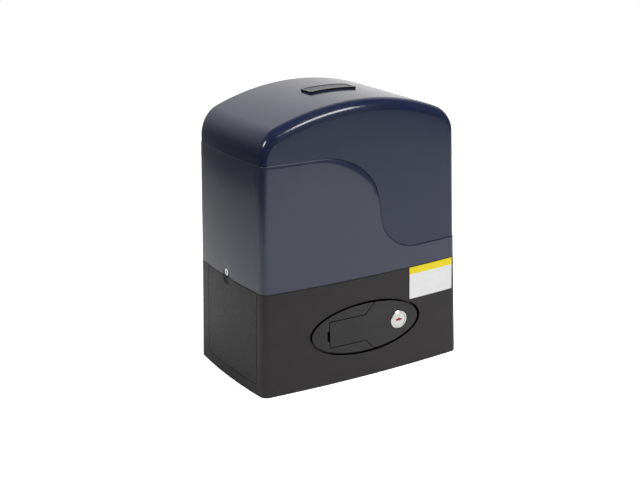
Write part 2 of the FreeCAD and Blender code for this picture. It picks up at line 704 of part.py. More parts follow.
# ---- gearbox ------------------------------------------------------------------------------------------------------
my = G["motor_pos_y"]
case = box(-27, 102, -4, 60, 10, 122)
case_out = fuse(case, cyl("Y", 31.0, 59, 84, ox, oz), cyl("Z", 28.5, 121, 126, 0, "Dims.motor_pos_y"))
case_cut = [
    box(-19, 94, -5, 54, 28, 108.0),
    box(28.9, 94, -5, 54, 107, 116),
    cyl("Z", 18.5, 112, 127, 0, "Dims.motor_pos_y"),
    cyl("Z", 16.0, 107, 113, 0, "Dims.motor_pos_y"),
    box(-40, 40, -30, -4, 120.0, 122.0),
    cyl("Z", 16.0, 18, 29, 0, "Dims.motor_pos_y"),
    cyl("Y", 23.5, 64, 85, ox, oz),
    cyl("Y", 16.5, 53, 65, ox, oz),
]
for gx, gy in gear_feet:
    case_cut.append(cyl("Z", 2.95, 9, 24, gx, gy))
lid_bolts = [(-23, 36), (-23, 72), (-23, 108), (98, 36), (98, 72), (98, 108), (36, 20), (36, 118.1)]
for gx, gz in lid_bolts:
    case_cut.append(cyl("Y", 1.97, -5, 10, gx, gz))
flange_bolts = [(-15.7, 54.9), (27.0, 48.2), (40.6, 5.1)]
for gx, gy in flange_bolts:
    case_cut.append(cyl("Z", 1.97, 117.5, 123, gx, gy))
node("gearbox_case", cut(case_out, *case_cut))

gasket = new_body()
pad(gasket, "XZ", -4.8, -4.0, lambda s: (rect(s, -27, 102, 10, 122), rect(s, -19, 94, 28, 115), [ring(s, gx, gz, 2.3) for gx, gz in lid_bolts if not (gx == 36)]))
node("gearbox_gasket", cut(gasket, *[cyl("Y", 2.3, -6, -3, gx, gz) for gx, gz in lid_bolts if gx == 36]))

lid_plate = box(-27, 102, -10.8, -4.8, 10, 122)
lid_boss = cyl("Y", 30.0, -24.0, -10.0, ox, oz)
rib_a = box(14, 86, -15, -10, 70.5, 73.5)
rib_b = box(48.5, 51.5, -15, -10, 36, 108)
rib_c = box(-20, 20, -14, -10, 30, 33)
node(
    "gearbox_lid",
    cut(
        fuse(lid_plate, lid_boss, rib_a, rib_b, rib_c),
        cyl("Y", 23.5, -20.0, -4.0, ox, oz), cyl("Y", 16.5, -25, -19, ox, oz),
        *[cyl("Y", 2.3, -11, -4, gx, gz) for gx, gz in lid_bolts],
    ),
)


def screw(axis_sign, axis, r_head, head, r, length, at, c1, c2, hexagon=False):
    """A screw whose head's underside is at `at`; the shank goes on in the direction axis_sign."""
    a, b = sorted((at, at + axis_sign * length))
    h0, h1 = sorted((at, at - axis_sign * head))
    shank = cyl(axis, r, a, b, c1, c2)
    top = cyl(axis, r_head, h0, h1, c1, c2)
    k0, k1 = sorted((at - axis_sign * head * 0.45, at - axis_sign * (head + 0.5)))
    return cut(fuse(shank, top), cyl(axis, r_head * 0.52, k0, k1, c1, c2))


m4_list = [screw(1, "Y", 3.5, 4.0, 1.95, 16.0, -10.8, gx, gz) for gx, gz in lid_bolts]
node("gearbox_foot_screws", group(*[screw(1, "Z", 5.0, 4.0, 2.9, 17.0, 5.0, gx, gy) for gx, gy in gear_feet]))


def bearing(axis, r_bore, r_out, low, high, x, y, z, balls):
    """A deep-groove ball bearing: outer ring, inner ring and a row of balls."""
    mid, wide = (low + high) / 2, high - low
    pitch = (r_bore + r_out) / 2
    rb = (r_out - r_bore) * 0.27
    t = (r_out - r_bore) * 0.27
    b_in = turned(axis, [(r_bore + 0.03, low), (r_bore + t, low), (r_bore + t, high), (r_bore + 0.03, high)], x, y, z)
    b_out = turned(axis, [(r_out - t, low), (r_out, low), (r_out, high), (r_out - t, high)], x, y, z)
    groove = doc.addObject("Part::Torus", fresh("groove"))
    groove.Radius1, groove.Radius2 = pitch, rb + 0.03
    pos = {"Y": (x, mid, z), "Z": (x, y, mid)}[axis]
    groove.Placement = Placement(V(0, 0, 0), TURN[axis])
    place(groove, *pos)
    out = [cut(b_in, groove)]
    groove2 = doc.addObject("Part::Torus", fresh("groove"))
    groove2.Radius1, groove2.Radius2 = pitch, rb + 0.03
    groove2.Placement = Placement(V(0, 0, 0), TURN[axis])
    place(groove2, *pos)
    out.append(cut(b_out, groove2))
    for k in range(balls):
        a = 2 * math.pi * k / balls
        ball = doc.addObject("Part::Sphere", fresh("ball"))
        ball.Radius = rb
        if axis == "Y":
            place(ball, plus(x, pitch * math.cos(a)), mid, plus(z, pitch * math.sin(a)))
        else:
            place(ball, plus(x, pitch * math.cos(a)), plus(y, pitch * math.sin(a)), mid)
        out.append(ball)
    return group(*out)


yo = "Dims.motor_pos_y"
node("output_front_bearing", bearing("Y", 12.5, 23.5, -20.0, -8.0, ox, 0, oz, 9))
node("output_rear_bearing", bearing("Y", 12.5, 23.5, 64.0, 76.0, ox, 0, oz, 9))
node("worm_lower_bearing", bearing("Z", 6.0, 16.0, 18.0, 28.0, 0, yo, 0, 7))
node("worm_upper_bearing", bearing("Z", 10.0, 18.5, 112.0, 121.0, 0, yo, 0, 8))
node("motor_upper_bearing", bearing("Z", 7.5, 17.5, 226.0, 237.0, 0, yo, 0, 8))
node("oil_seal", turned("Y", [(15.05, 78.6), (17.2, 77.2), (23.5, 77.2), (23.5, 83.6), (17.5, 83.6), (17.0, 80.2), (15.3, 80.6)], ox, 0, oz))

# ---- output shaft, worm wheel, clutch and pinion -------------------------------------------------------------------
shaft = turned(
    "Y",
    [("Dims.rod_radius + 0.06", -22), (12.0, -22), ("Dims.shaft_radius", -21.4), ("Dims.shaft_radius", 76.5), (15.0, 76.5), (15.0, 86), ("Dims.shaft_radius", 86),
     ("Dims.shaft_radius", 115), (4.5, 115), (4.5, 92), (0, 92), (0, 46), ("Dims.rod_radius + 0.06", 46)],
    ox, 0, oz,
)
pin_y = 34.0
slot = box(20, 80, pin_y - 3.25, pin_y + 3.25 + G["clutch_travel"], "Dims.output_pos_z - 3.08", "Dims.output_pos_z + 3.08")
keyway = box("Dims.output_pos_x - 4", "Dims.output_pos_x + 4", 87, 114, "Dims.output_pos_z + 8.5", "Dims.output_pos_z + 13")
node("output_shaft", cut(shaft, slot, keyway))


def involute_profile(module, teeth, thin, pressure=20.0, add=1.0, ded=1.25, start=0.0, extra=0.0):
    """Closed edges of a spur gear section; thin is taken off each tooth's thickness at the pitch line."""
    rp = module * teeth / 2
    rb = rp * math.cos(math.radians(pressure))
    ro, rr = rp + add * module, rp - ded * module
    inv = lambda a: math.tan(a) - a
    half = math.pi / (2 * teeth) - thin / (2 * rp) + inv(math.radians(pressure))
    r0 = max(rb, rr + 0.05)
    flank = []
    for k in range(7):
        r = r0 + (ro - r0) * k / 6
        a = math.acos(min(1.0, rb / r))
        flank.append((r, half - inv(a)))
    return rr, ro, flank


def gear_wire(module, teeth, thin, y, twist, start, **kw):
    rr, ro, flank = involute_profile(module, teeth, thin, **kw)
    pol = lambda r, a: V(r * math.cos(a), y, r * math.sin(a))
    edges = []
    pitch = 2 * math.pi / teeth
    for i in range(teeth):
        c = start + i * pitch + twist
        left = [pol(r, c - h) for r, h in flank]
        right = [pol(r, c + h) for r, h in flank][::-1]
        root_in, root_out = pol(rr, c - flank[0][1]), pol(rr, c + flank[0][1])
        nxt = pol(rr, c + pitch - flank[0][1])
        edges.append(Part.makeLine(root_in, left[0]))
        s1 = Part.BSplineCurve()
        s1.interpolate(left)
        edges.append(s1.toShape())
        edges.append(Part.Arc(left[-1], pol(ro, c), right[0]).toShape())
        s2 = Part.BSplineCurve()
        s2.interpolate(right)
        edges.append(s2.toShape())
        edges.append(Part.makeLine(right[-1], root_out))
        mid = c + pitch / 2
        edges.append(Part.Arc(root_out, pol(rr, mid), nxt).toShape())
    return Part.Wire(edges)


wm, wt = G["worm_module"], int(G["worm_teeth"])
wheel_r = wm * wt / 2
lead_slope = wm / (2 * G["worm_pitch_radius"])
half_w = G["wheel_width"] / 2
# a gap of the wheel points at the worm (towards -X) in the mid plane
wheel_start = math.pi + math.pi / wt
w_low = gear_wire(wm, wt, G["mesh_backlash"], my - half_w, +lead_slope * half_w / wheel_r, wheel_start)
w_high = gear_wire(wm, wt, G["mesh_backlash"], my + half_w, -lead_slope * half_w / wheel_r, wheel_start)
wheel = Part.makeLoft([w_low, w_high], True, True)
wheel = wheel.cut(mcyl("Y", 12.5, -50, 60, 0, 0))
# four drive pockets for the clutch dogs, and lightening rings
wf = my + half_w


def sector(r_in, r_out, ang0, ang1, y0, y1):
    f = Part.makeCylinder(r_out, y1 - y0, V(0, y0, 0), V(0, 1, 0), ang1 - ang0)
    f = f.cut(Part.makeCylinder(r_in, y1 - y0, V(0, y0, 0), V(0, 1, 0)))
    f.rotate(V(0, 0, 0), V(0, 1, 0), ang0)
    return f


for k in range(4):
    wheel = wheel.cut(sector(13.6, 21.6, 90 * k - 22, 90 * k + 22, wf - 3.2, wf + 1))
wheel = wheel.cut(mcyl("Y", 31, wf - 3, wf + 1, 0, 0).cut(mcyl("Y", 24, wf - 4, wf + 2, 0, 0)))
wheel = wheel.cut(mcyl("Y", 31, my - half_w - 1, my - half_w + 3, 0, 0).cut(mcyl("Y", 19, my - half_w - 2, my - half_w + 4, 0, 0)))
wheel_o = feature(one(wheel))
wheel_o.Placement = Placement(V(G["output_pos_x"], 0, G["output_pos_z"]), Rotation())
node("worm_wheel", wheel_o)

clutch = Part.makeCylinder(22, 12, V(0, 28, 0), V(0, 1, 0))
for k in range(4):
    clutch = clutch.fuse(sector(14.0, 21.2, 90 * k - 20, 90 * k + 20, wf - 2.6, 28.5))
clutch = cut_all(clutch, [mcyl("Y", 12.56, 0, 60, 0, 0), mcyl("X", 3.0, -30, 30, pin_y, 0)])
clutch_o = feature(one(clutch))
clutch_o.Placement = Placement(V(G["output_pos_x"], 0, G["output_pos_z"]), Rotation())
node("clutch_ring", clutch_o)
node("clutch_pin", cyl("X", 3.0, "Dims.output_pos_x - 21.5", "Dims.output_pos_x + 21.5", pin_y, oz))

spring_path = Part.makeHelix(4.6, 11.7, 16.6)
sp = Part.Wire(spring_path.Edges)
prof = Part.makePolygon([V(15.8, 0, -0.8), V(17.4, 0, -0.8), V(17.4, 0, 0.8), V(15.8, 0, 0.8), V(15.8, 0, -0.8)])
spring = sp.makePipeShell([prof], True, True)
spring_o = feature(spring)
spring_o.Placement = Placement(V(G["output_pos_x"], 40.97, G["output_pos_z"]), Rotation(V(1, 0, 0), -90))
node("clutch_spring", spring_o)

pt = int(G["pinion_teeth"])
pin_gear = Part.Face(gear_wire(G["pinion_module"], pt, 0.15, G["pinion_start"], 0.0, math.pi / 2)).extrude(V(0, G["pinion_width"], 0))
ends_r = G["pinion_module"] * (pt + 2) / 2
pinion = cut_all(pin_gear, [mcyl("Y", 12.5, 80, 120, 0, 0), mbox(-4, 4, 80, 120, 8, 15.6)])
bevel = Part.makeCone(ends_r + 2.5, ends_r - 1.5, 4.0, V(0, G["pinion_start"] + G["pinion_width"] - 3.0, 0), V(0, 1, 0))
tubeb = mcyl("Y", ends_r + 5, G["pinion_start"] + G["pinion_width"] - 3.0, G["pinion_start"] + G["pinion_width"] + 1, 0, 0).cut(bevel)
pinion = pinion.cut(tubeb)
pinion_o = feature(one(pinion))
pinion_o.Placement = Placement(V(G["output_pos_x"], 0, G["output_pos_z"]), Rotation())
node("output_pinion", pinion_o)
node("pinion_key", box("Dims.output_pos_x - 4", "Dims.output_pos_x + 4", 87, 114, "Dims.output_pos_z + 8.5", "Dims.output_pos_z + 15.5"))
node("pinion_washer", tube("Y", 5.3, 17.0, 116.0, 119.0, ox, 0, oz))
bolt = new_body(ox, 0, oz)
pad(bolt, "XZ", 119.0, 125.4, lambda s: poly(s, [(9.24 * math.cos(math.radians(60 * k)), 9.24 * math.sin(math.radians(60 * k))) for k in range(6)]))
pad(bolt, "XZ", 93.0, 119.5, lambda s: ring(s, 0, 0, 4.45))
node("pinion_bolt", bolt)

# ---- worm shaft and motor ------------------------------------------------------------------------------------------
zc = G["output_pos_z"]
worm_body = turned(
    "Z",
    [(0, 18.6), (5.4, 18.6), (6.0, 19.2), (6.0, 28.5), (9.2, 28.5), (9.2, 104), (12, 104), (12, 111.6), (10.0, 111.6), (10.0, 128.0), (8.0, 128.0), (8.0, 225.6), (7.5, 225.6), (7.5, 236.4), (0, 236.4)],
    0, yo, 0,
)
lead = math.pi * wm
rp, r_top, r_root = G["worm_pitch_radius"], G["worm_pitch_radius"] + wm, 9.0
tan_p = math.tan(math.radians(20))
half_t = lead / 4 - G["mesh_backlash"] / 2
turns_low, turns_high = zc - 22.0, zc + 22.0
n_low = math.floor((zc - turns_low) / lead)
helix = Part.makeHelix(lead, lead * 2 * n_low, rp)
prof = Part.makePolygon(
    [
        V(r_root, 0, -(half_t + (rp - r_root) * tan_p)), V(r_top, 0, -(half_t - wm * tan_p)),
        V(r_top, 0, half_t - wm * tan_p), V(r_root, 0, half_t + (rp - r_root) * tan_p), V(r_root, 0, -(half_t + (rp - r_root) * tan_p)),
    ]
)
thread = Part.Wire(helix.Edges).makePipeShell([prof], True, True)
thread.translate(V(0, my, zc - lead * n_low))
thread_o = feature(thread)
node("worm_shaft", fuse(worm_body, thread_o))

rotor = new_body(0, yo, 0)
pad(rotor, "XY", "Dims.stack_low", "Dims.stack_high", lambda s: (ring(s, 0, 0, "Dims.rotor_radius"), ring(s, 0, 0, 8.0)))
pad(rotor, "XY", "Dims.stack_low - 6", "Dims.stack_low", lambda s: (ring(s, 0, 0, 29.0), ring(s, 0, 0, 17.0)))
pad(rotor, "XY", "Dims.stack_high", "Dims.stack_high + 6", lambda s: (ring(s, 0, 0, 29.0), ring(s, 0, 0, 17.0)))
node("rotor_core", rotor)

stator = new_body(0, yo, 0)


def stator_profile(s):
    ring(s, 0, 0, "Dims.stator_radius")
    ring(s, 0, 0, "Dims.stator_bore")
    for k in range(12):
        a = math.radians(30 * k + 15)
        ca, sa = math.cos(a), math.sin(a)
        poly(s, [(r * ca - t * sa, r * sa + t * ca) for r, t in ((33.4, -4.2), (46.5, -5.6), (46.5, 5.6), (33.4, 4.2))])
    for k in range(4):
        a = math.radians(90 * k)
        ring(s, 51.0 * math.cos(a), 51.0 * math.sin(a), 2.2)


pad(stator, "XY", "Dims.stack_low", "Dims.stack_high", stator_profile)
node("motor_stator", stator)

bars = []
for k in range(12):
    a = math.radians(30 * k + 15)
    ca, sa = math.cos(a), math.sin(a)
    w = Part.makePolygon([V(r * ca - t * sa, r * sa + t * ca, G["stack_low"] - 1) for r, t in ((33.8, -3.8), (46.1, -5.2), (46.1, 5.2), (33.8, 3.8), (33.8, -3.8))])
    bars.append(Part.Face(w).extrude(V(0, 0, G["stack_high"] - G["stack_low"] + 2)))
coil_end = Part.makeTorus(40.3, 6.6)
hi, lo = coil_end.copy(), coil_end.copy()
hi.translate(V(0, 0, G["stack_high"] + 7.2))
lo.translate(V(0, 0, G["stack_low"] - 7.2))
collars = [Part.makeCylinder(46.0, 7, V(0, 0, z)).cut(Part.makeCylinder(34.6, 7, V(0, 0, z))) for z in (G["stack_high"] + 0.4, G["stack_low"] - 7.4)]
wind = add_all(hi, [lo] + collars + bars)
wind_o = feature(one(wind))
wind_o.Placement = Placement(V(0, my, 0), Rotation())
node("stator_windings", wind_o)

flange = turned("Z", [(28.6, 122), (58, 122), (58, 145), (53.2, 145), (53.2, 130), (28.6, 130)], 0, yo, 0)
tie = [(51.0 * math.cos(math.radians(90 * k)), 51.0 * math.sin(math.radians(90 * k))) for k in range(4)]
flange_cut = [cyl("Z", 2.3, 121, 131, gx, gy) for gx, gy in flange_bolts]
flange_cut += [cyl("Z", 3.8, 126.5, 131, gx, gy) for gx, gy in flange_bolts]
flange_cut += [cyl("Z", 2.0, 123, 131, tx, "Dims.motor_pos_y + %r" % ty) for tx, ty in tie]
node("motor_flange", cut(flange, *flange_cut))
m4_list += [screw(-1, "Z", 3.5, 4.0, 1.95, 8.5, 126.5, gx, gy) for gx, gy in flange_bolts]
node("gearbox_m4_screws", group(*m4_list))
bell = turned("Z", [(53.2, 205), (58, 205), (58, 226.5), (55, 229), (23, 229), (23, 240), (0, 240), (0, 237.5), (17.5, 237.5), (17.5, 224.0), (53.2, 224.0)], 0, yo, 0)
bell_cut = [cyl("Z", 2.3, 222, 231, tx, "Dims.motor_pos_y + %r" % ty) for tx, ty in tie]
for k in range(8):
    a = math.radians(45 * k + 22.5)
    bell_cut.append(cyl("Z", 6.0, 222, 231, 37 * math.cos(a), "Dims.motor_pos_y + %r" % (37 * math.sin(a))))
node("motor_end_bell", cut(bell, *bell_cut))
node("motor_tie_bolts", group(*[screw(-1, "Z", 3.6, 3.2, 1.95, 104.0, 229.0, tx, "Dims.motor_pos_y + %r" % ty) for tx, ty in tie]))

# ---- chassis, board and electrical parts ---------------------------------------------------------------------------
chassis = new_body()
pad(chassis, "XY", 124.0, 126.0, lambda s: (rect(s, -116, 116, -66, 70), rect(s, -100, -62, 8, 60)))
node("chassis_plate", cut(chassis, cyl("Z", 59.5, 120, 130, 0, yo), box(-30, 112, 50, 75, 120, 130)))

carrier = fuse(
    box(-95, 55, -46.0, -43.0, 126, 262),
    box(-95, 55, -60.0, -45.0, 126, 129),
    *[cyl("Y", 3.2, -50.0, -45.0, bx_, bz_) for bx_ in (-85, 45) for bz_ in (146, 250)],
)
node("board_carrier", cut(carrier, *[box(x_, x_ + 22, -48, -42, 170, 232) for x_ in (-78, -42, -6)]))
bf = G["board_front"]
pcb = new_body()
pad(pcb, "XZ", "Dims.board_front", "Dims.board_front + Dims.board_thick", lambda s: (rect(s, -90, 50, 140, 256), [ring(s, bx_, bz_, 1.7) for bx_ in (-85, 45) for bz_ in (146, 250)]))

blocks = []
for k in range(4):
    x0 = -84 + 32.5 * k
    blk = box(x0, x0 + 30, bf - 12.0, bf, 141, 153)
    tools = []
    for m in range(6):
        cx = x0 + 2.7 + 4.92 * m
        tools.append(cyl("Y", 1.7, bf - 12.5, bf - 8.5, cx, 148.5))
        tools.append(cyl("Z", 1.5, 140.5, 146.0, cx, bf - 6.0))
    blocks.append(cut(blk, *tools))
node("terminal_blocks", group(*blocks))
node("relays", group(*[box(x0, x0 + 19, bf - 15.2, bf, 162, 177.5) for x0 in (-80, -57, -34)]))
node("board_capacitors", group(*[turned("Y", [(0, bf), (4.6, bf), (5.0, bf - 1.4), (5.0, bf - 15.4), (4.5, bf - 16.0), (0, bf - 16.0)], x_, 0, z_) for x_, z_ in ((6, 172), (20, 172))]))
holder = cut(box(-10, 28, bf - 9.0, bf, 186, 196), box(-5, 23, bf - 10, bf - 4.5, 188, 194))
node("fuse_holder", group(holder, cyl("X", 2.4, -4.9, 22.9, bf - 7.2, 191)))
node("receiver_module", fuse(box(-82, -46, bf - 3.0, bf, 222, 248), box(-78, -66, bf - 7.5, bf - 2.5, 226, 234), box(-62, -50, bf - 6.0, bf - 2.5, 236, 244)))
chip = box(-30, 4, bf - 4.2, bf, 214, 228)
button_body = cut(box(24, 31, bf - 4.0, bf, 228, 235), cyl("Y", 1.85, bf - 5, bf - 0.8, 27.5, 231.5))
node("learn_button", turned("Y", [(0, bf - 6.6), (1.4, bf - 6.6), (1.75, bf - 6.2), (1.75, bf - 1.6), (0, bf - 1.6)], 27.5, 0, 231.5))
trim_z, trim_x = 208.0, (22.0, 36.0)
trim_bodies = [cut(box(x_ - 4.8, x_ + 4.8, bf - 5.0, bf, trim_z - 4.8, trim_z + 4.8), cyl("Y", 3.3, bf - 6, bf - 2.0, x_, trim_z)) for x_ in trim_x]
# the board and the parts soldered flat on it
node("control_board", group(pcb, chip, button_body, *trim_bodies))
for x_, name in zip(trim_x, ("force_trimmer", "time_trimmer")):
    knob = turned("Y", [(0, bf - 6.4), (2.9, bf - 6.4), (3.2, bf - 6.0), (3.2, bf - 2.3), (0, bf - 2.3)], x_, 0, trim_z)
    node(name, cut(knob, box(x_ - 0.45, x_ + 0.45, bf - 7, bf - 5.2, trim_z - 2.6, trim_z + 2.6)))

core_cut = [box(70, 78, -23, 37, 138, 168), box(96, 104, -23, 37, 138, 168)]
node("transformer_core", cut(box(60, 114, -18, 28, 126, 180), *core_cut))
coil = cut(feature(round_block(70.3, 103.7, -27, 37, 138.3, 167.7, 4.0)), box(77.9, 96.1, -18.1, 28.1, 130, 175))
node("transformer_coil", coil)
node("start_capacitor", fuse(turned("Z", [(0, 126), (19.0, 126), (20.0, 127), (20.0, 198), (19.0, 199.2), (0, 199.2)], 92, -47.5, 0), box(86, 88, -50, -45, 199, 206), box(96, 98, -50, -45, 199, 206)))
node("limit_sensor", fuse(box(-22, 6, 65.5, 75.6, 92, 116), box(-16, 0, 60.0, 66.5, 96, 112)))
node("cable_grommet", turned("Z", [("Dims.cable_entry_radius", 0.6), (13.95, 0.6), (13.95, 7.1), (17.5, 7.1), (17.5, 9.6), (11.0, 14.0), ("Dims.cable_entry_radius", 14.0)], "Dims.grommet_pos_x", "Dims.grommet_pos_y", 0))

# ---- check and write -----------------------------------------------------------------------------------------------
doc.recompute()
problems = []
for o in doc.Objects:
    if "Invalid" in o.State or "Error" in o.State:
        problems.append("%s %s %s" % (o.Name, o.Label, o.State))
for o in SUB:
    if o.Shape.isNull() or not o.Shape.isValid():
        problems.append("bad shape %s" % o.Label)
    elif not o.Shape.Solids:
        problems.append("no solid %s" % o.Label)
if problems:
    raise SystemExit("\n".join(problems))
labels = [o.Label for o in SUB]
if len(set(labels)) != len(labels):
    raise SystemExit("two sub-parts share a label")
os.makedirs("parts", exist_ok=True)
for old in os.listdir("parts"):
    if old.endswith(".step") and old[:-5] not in labels:
        os.remove(os.path.join("parts", old))
for o in SUB:
    o.Shape.exportStep("parts/%s.step" % o.Label)
    bb = o.Shape.BoundBox
    print("%-22s solids %2d  vol %10.1f  x %.1f..%.1f  y %.1f..%.1f  z %.1f..%.1f" % (
        o.Label, len(o.Shape.Solids), o.Shape.Volume, bb.XMin, bb.XMax, bb.YMin, bb.YMax, bb.ZMin, bb.ZMax))
print(len(SUB), "nodes")
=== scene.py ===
import json
import math

import bmesh
import bpy
from mathutils import Matrix, Vector


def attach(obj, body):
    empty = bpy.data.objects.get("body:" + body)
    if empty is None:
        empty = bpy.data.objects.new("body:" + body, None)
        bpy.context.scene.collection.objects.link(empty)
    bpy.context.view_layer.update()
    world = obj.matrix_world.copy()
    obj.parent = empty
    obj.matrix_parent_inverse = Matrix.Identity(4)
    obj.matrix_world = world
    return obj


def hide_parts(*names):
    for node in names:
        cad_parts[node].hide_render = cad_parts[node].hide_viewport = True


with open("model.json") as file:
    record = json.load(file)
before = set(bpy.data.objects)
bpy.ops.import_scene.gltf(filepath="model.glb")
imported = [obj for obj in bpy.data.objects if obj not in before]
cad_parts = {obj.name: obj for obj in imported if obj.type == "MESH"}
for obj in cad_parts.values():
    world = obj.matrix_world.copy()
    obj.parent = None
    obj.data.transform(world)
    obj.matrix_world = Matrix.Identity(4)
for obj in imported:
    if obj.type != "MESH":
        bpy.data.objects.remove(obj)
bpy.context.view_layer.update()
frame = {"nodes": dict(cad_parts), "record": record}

NODES = frame["nodes"]
RECORD = frame["record"]
SLOT = {s["node"]: s["material_slot"] for s in RECORD["subparts"]}
sc = bpy.context.scene
sc.view_settings.view_transform = "Standard"
sc.view_settings.look = "None"
sc.view_settings.exposure = 0.0
sc.view_settings.gamma = 1.0


# ---- material kit ---------------------------------------------------------------------------------------------------
class Mat:
    """A node material: a Principled shader plus small helpers that return sockets."""

    def __init__(self, name):
        self.m = bpy.data.materials.new(name)
        self.m.use_nodes = True
        self.t = self.m.node_tree
        self.t.nodes.clear()
        self.out = self.t.nodes.new("ShaderNodeOutputMaterial")
        self.b = self.t.nodes.new("ShaderNodeBsdfPrincipled")
        self.t.links.new(self.b.outputs[0], self.out.inputs[0])
        self.coord = self.t.nodes.new("ShaderNodeTexCoord").outputs["Object"]
        self.normal = None

    def n(self, kind, **values):
        node = self.t.nodes.new(kind)
        for k, v in values.items():
            setattr(node, k, v)
        return node

    def link(self, a, b):
        self.t.links.new(a, b)

    def set(self, **values):
        for k, v in values.items():
            self.b.inputs[k.replace("_", " ")].default_value = v
        return self

    def mapped(self, scale=(1, 1, 1), rot=(0, 0, 0), loc=(0, 0, 0)):
        m = self.n("ShaderNodeMapping")
        m.inputs["Scale"].default_value = scale
        m.inputs["Rotation"].default_value = rot
        m.inputs["Location"].default_value = loc
        self.link(self.coord, m.inputs["Vector"])
        return m.outputs[0]

    def noise(self, scale, detail=2.0, rough=0.5, vector=None, distortion=0.0):
        n = self.n("ShaderNodeTexNoise")
        n.inputs["Scale"].default_value = scale
        n.inputs["Detail"].default_value = detail
        n.inputs["Roughness"].default_value = rough
        n.inputs["Distortion"].default_value = distortion
        self.link(vector or self.coord, n.inputs["Vector"])
        return n.outputs["Fac"]

    def voronoi(self, scale, feature="F1", vector=None, randomness=1.0):
        n = self.n("ShaderNodeTexVoronoi", feature=feature)
        n.inputs["Scale"].default_value = scale
        n.inputs["Randomness"].default_value = randomness
        self.link(vector or self.coord, n.inputs["Vector"])
        return n.outputs["Distance"]

    def wave(self, scale, direction="X", kind="BANDS", distortion=0.0, vector=None, profile="SIN"):
        n = self.n("ShaderNodeTexWave", wave_type=kind, wave_profile=profile)
        if kind == "BANDS":
            n.bands_direction = direction
        else:
            n.rings_direction = direction
        n.inputs["Scale"].default_value = scale
        n.inputs["Distortion"].default_value = distortion
        n.inputs["Detail"].default_value = 1.0
        self.link(vector or self.coord, n.inputs["Vector"])
        return n.outputs["Fac"]

    def math(self, op, a, b=None, c=None, clamp=False):
        n = self.n("ShaderNodeMath", operation=op, use_clamp=clamp)
        for i, v in enumerate((a, b, c)):
            if v is None:
                continue
            if isinstance(v, (int, float)):
                n.inputs[i].default_value = v
            else:
                self.link(v, n.inputs[i])
        return n.outputs[0]

    def span(self, value, f0, f1, t0, t1, smooth=False):
        n = self.n("ShaderNodeMapRange")
        n.interpolation_type = "SMOOTHSTEP" if smooth else "LINEAR"
        for i, v in enumerate((value, f0, f1, t0, t1)):
            if isinstance(v, (int, float)):
                n.inputs[i].default_value = v
            else:
                self.link(v, n.inputs[i])
        return n.outputs[0]

    def axes(self):
        n = self.n("ShaderNodeSeparateXYZ")
        self.link(self.coord, n.inputs[0])
        return n.outputs

    def mix(self, fac, a, b, mode="MIX"):
        n = self.n("ShaderNodeMix", data_type="RGBA", blend_type=mode)
        if isinstance(fac, (int, float)):
            n.inputs[0].default_value = fac
        else:
            self.link(fac, n.inputs[0])
        for i, v in ((6, a), (7, b)):
            if isinstance(v, tuple):
                n.inputs[i].default_value = v if len(v) == 4 else (*v, 1.0)
            else:
                self.link(v, n.inputs[i])
        return n.outputs[2]

    def ramp(self, value, stops):
        n = self.n("ShaderNodeValToRGB")
        e = n.color_ramp.elements
        while len(e) > 1:
            e.remove(e[-1])
        e[0].position = stops[0][0]
        e[0].color = (*stops[0][1], 1.0)
        for p, c in stops[1:]:
            x = e.new(p)
            x.color = (*c, 1.0)
        self.link(value, n.inputs[0])
        return n.outputs[0]

    def color(self, socket):
        if isinstance(socket, tuple):
            self.b.inputs["Base Color"].default_value = (*socket, 1.0) if len(socket) == 3 else socket
        else:
            self.link(socket, self.b.inputs["Base Color"])
        return self

    def rough(self, socket):
        if isinstance(socket, (int, float)):
            self.b.inputs["Roughness"].default_value = socket
        else:
            self.link(socket, self.b.inputs["Roughness"])
        return self

    def bump(self, height, strength, distance):
        n = self.n("ShaderNodeBump")
        n.inputs["Strength"].default_value = strength
        n.inputs["Distance"].default_value = distance
        self.link(height, n.inputs["Height"])
        if self.normal is not None:
            self.link(self.normal, n.inputs["Normal"])
        self.normal = n.outputs[0]
        self.link(self.normal, self.b.inputs["Normal"])
        return self


def vary(m, base, amount, scale, detail=3.0):
    """base colour made a little lighter and darker by a soft noise."""
    f = m.noise(scale, detail)
    lo = tuple(max(0.0, c * (1 - amount)) for c in base)
    hi = tuple(min(1.0, c * (1 + amount)) for c in base)
    return m.ramp(f, [(0.3, lo), (0.7, hi)])


MATS = {}


def material(slot):
    if slot not in MATS:
        MATS[slot] = MAKERS[slot]().m
    return MATS[slot]


NAVY = (0.0125, 0.0185, 0.0535)
CHARCOAL = (0.0150, 0.0118, 0.0138)


def blue_cover(name="gloss_navy_abs", base=NAVY, ior=1.5):
    m = Mat(name)
    m.color(vary(m, base, 0.05, 9.0))
    m.rough(m.span(m.noise(26.0, 4.0, 0.6), 0.3, 0.7, 0.14, 0.18))
    m.set(IOR=ior)
    m.bump(m.noise(420.0, 2.0), 0.010, 0.001)
    m.bump(m.noise(14.0, 1.0), 0.012, 0.01)
    return m


def recess_painted_shade(m, base):
    """Painted shade: the colour made near black down in the release opening's groove and the lever's gaps, where no
    light gets.
    """
    x, y, z = m.axes()
    face = m.math("ADD", m.math("MULTIPLY_ADD", z, 0.010656, -0.08325), m.math("DIVIDE", m.math("MULTIPLY", x, x), 2.8078))
    deep = m.math("SUBTRACT", y, face)
    f = m.math("MULTIPLY", m.span(deep, 0.00018, 0.0004, 0.0, 1.0), m.span(deep, 0.0075, 0.011, 1.0, 0.0))
    f = m.math("MULTIPLY", f, m.math("LESS_THAN", m.math("ABSOLUTE", x), 0.0795))
    f = m.math("MULTIPLY", f, m.math("LESS_THAN", m.math("ABSOLUTE", m.math("SUBTRACT", z, 0.061)), 0.0345))
    return m.mix(f, base, (0.0012, 0.0012, 0.0012)), f


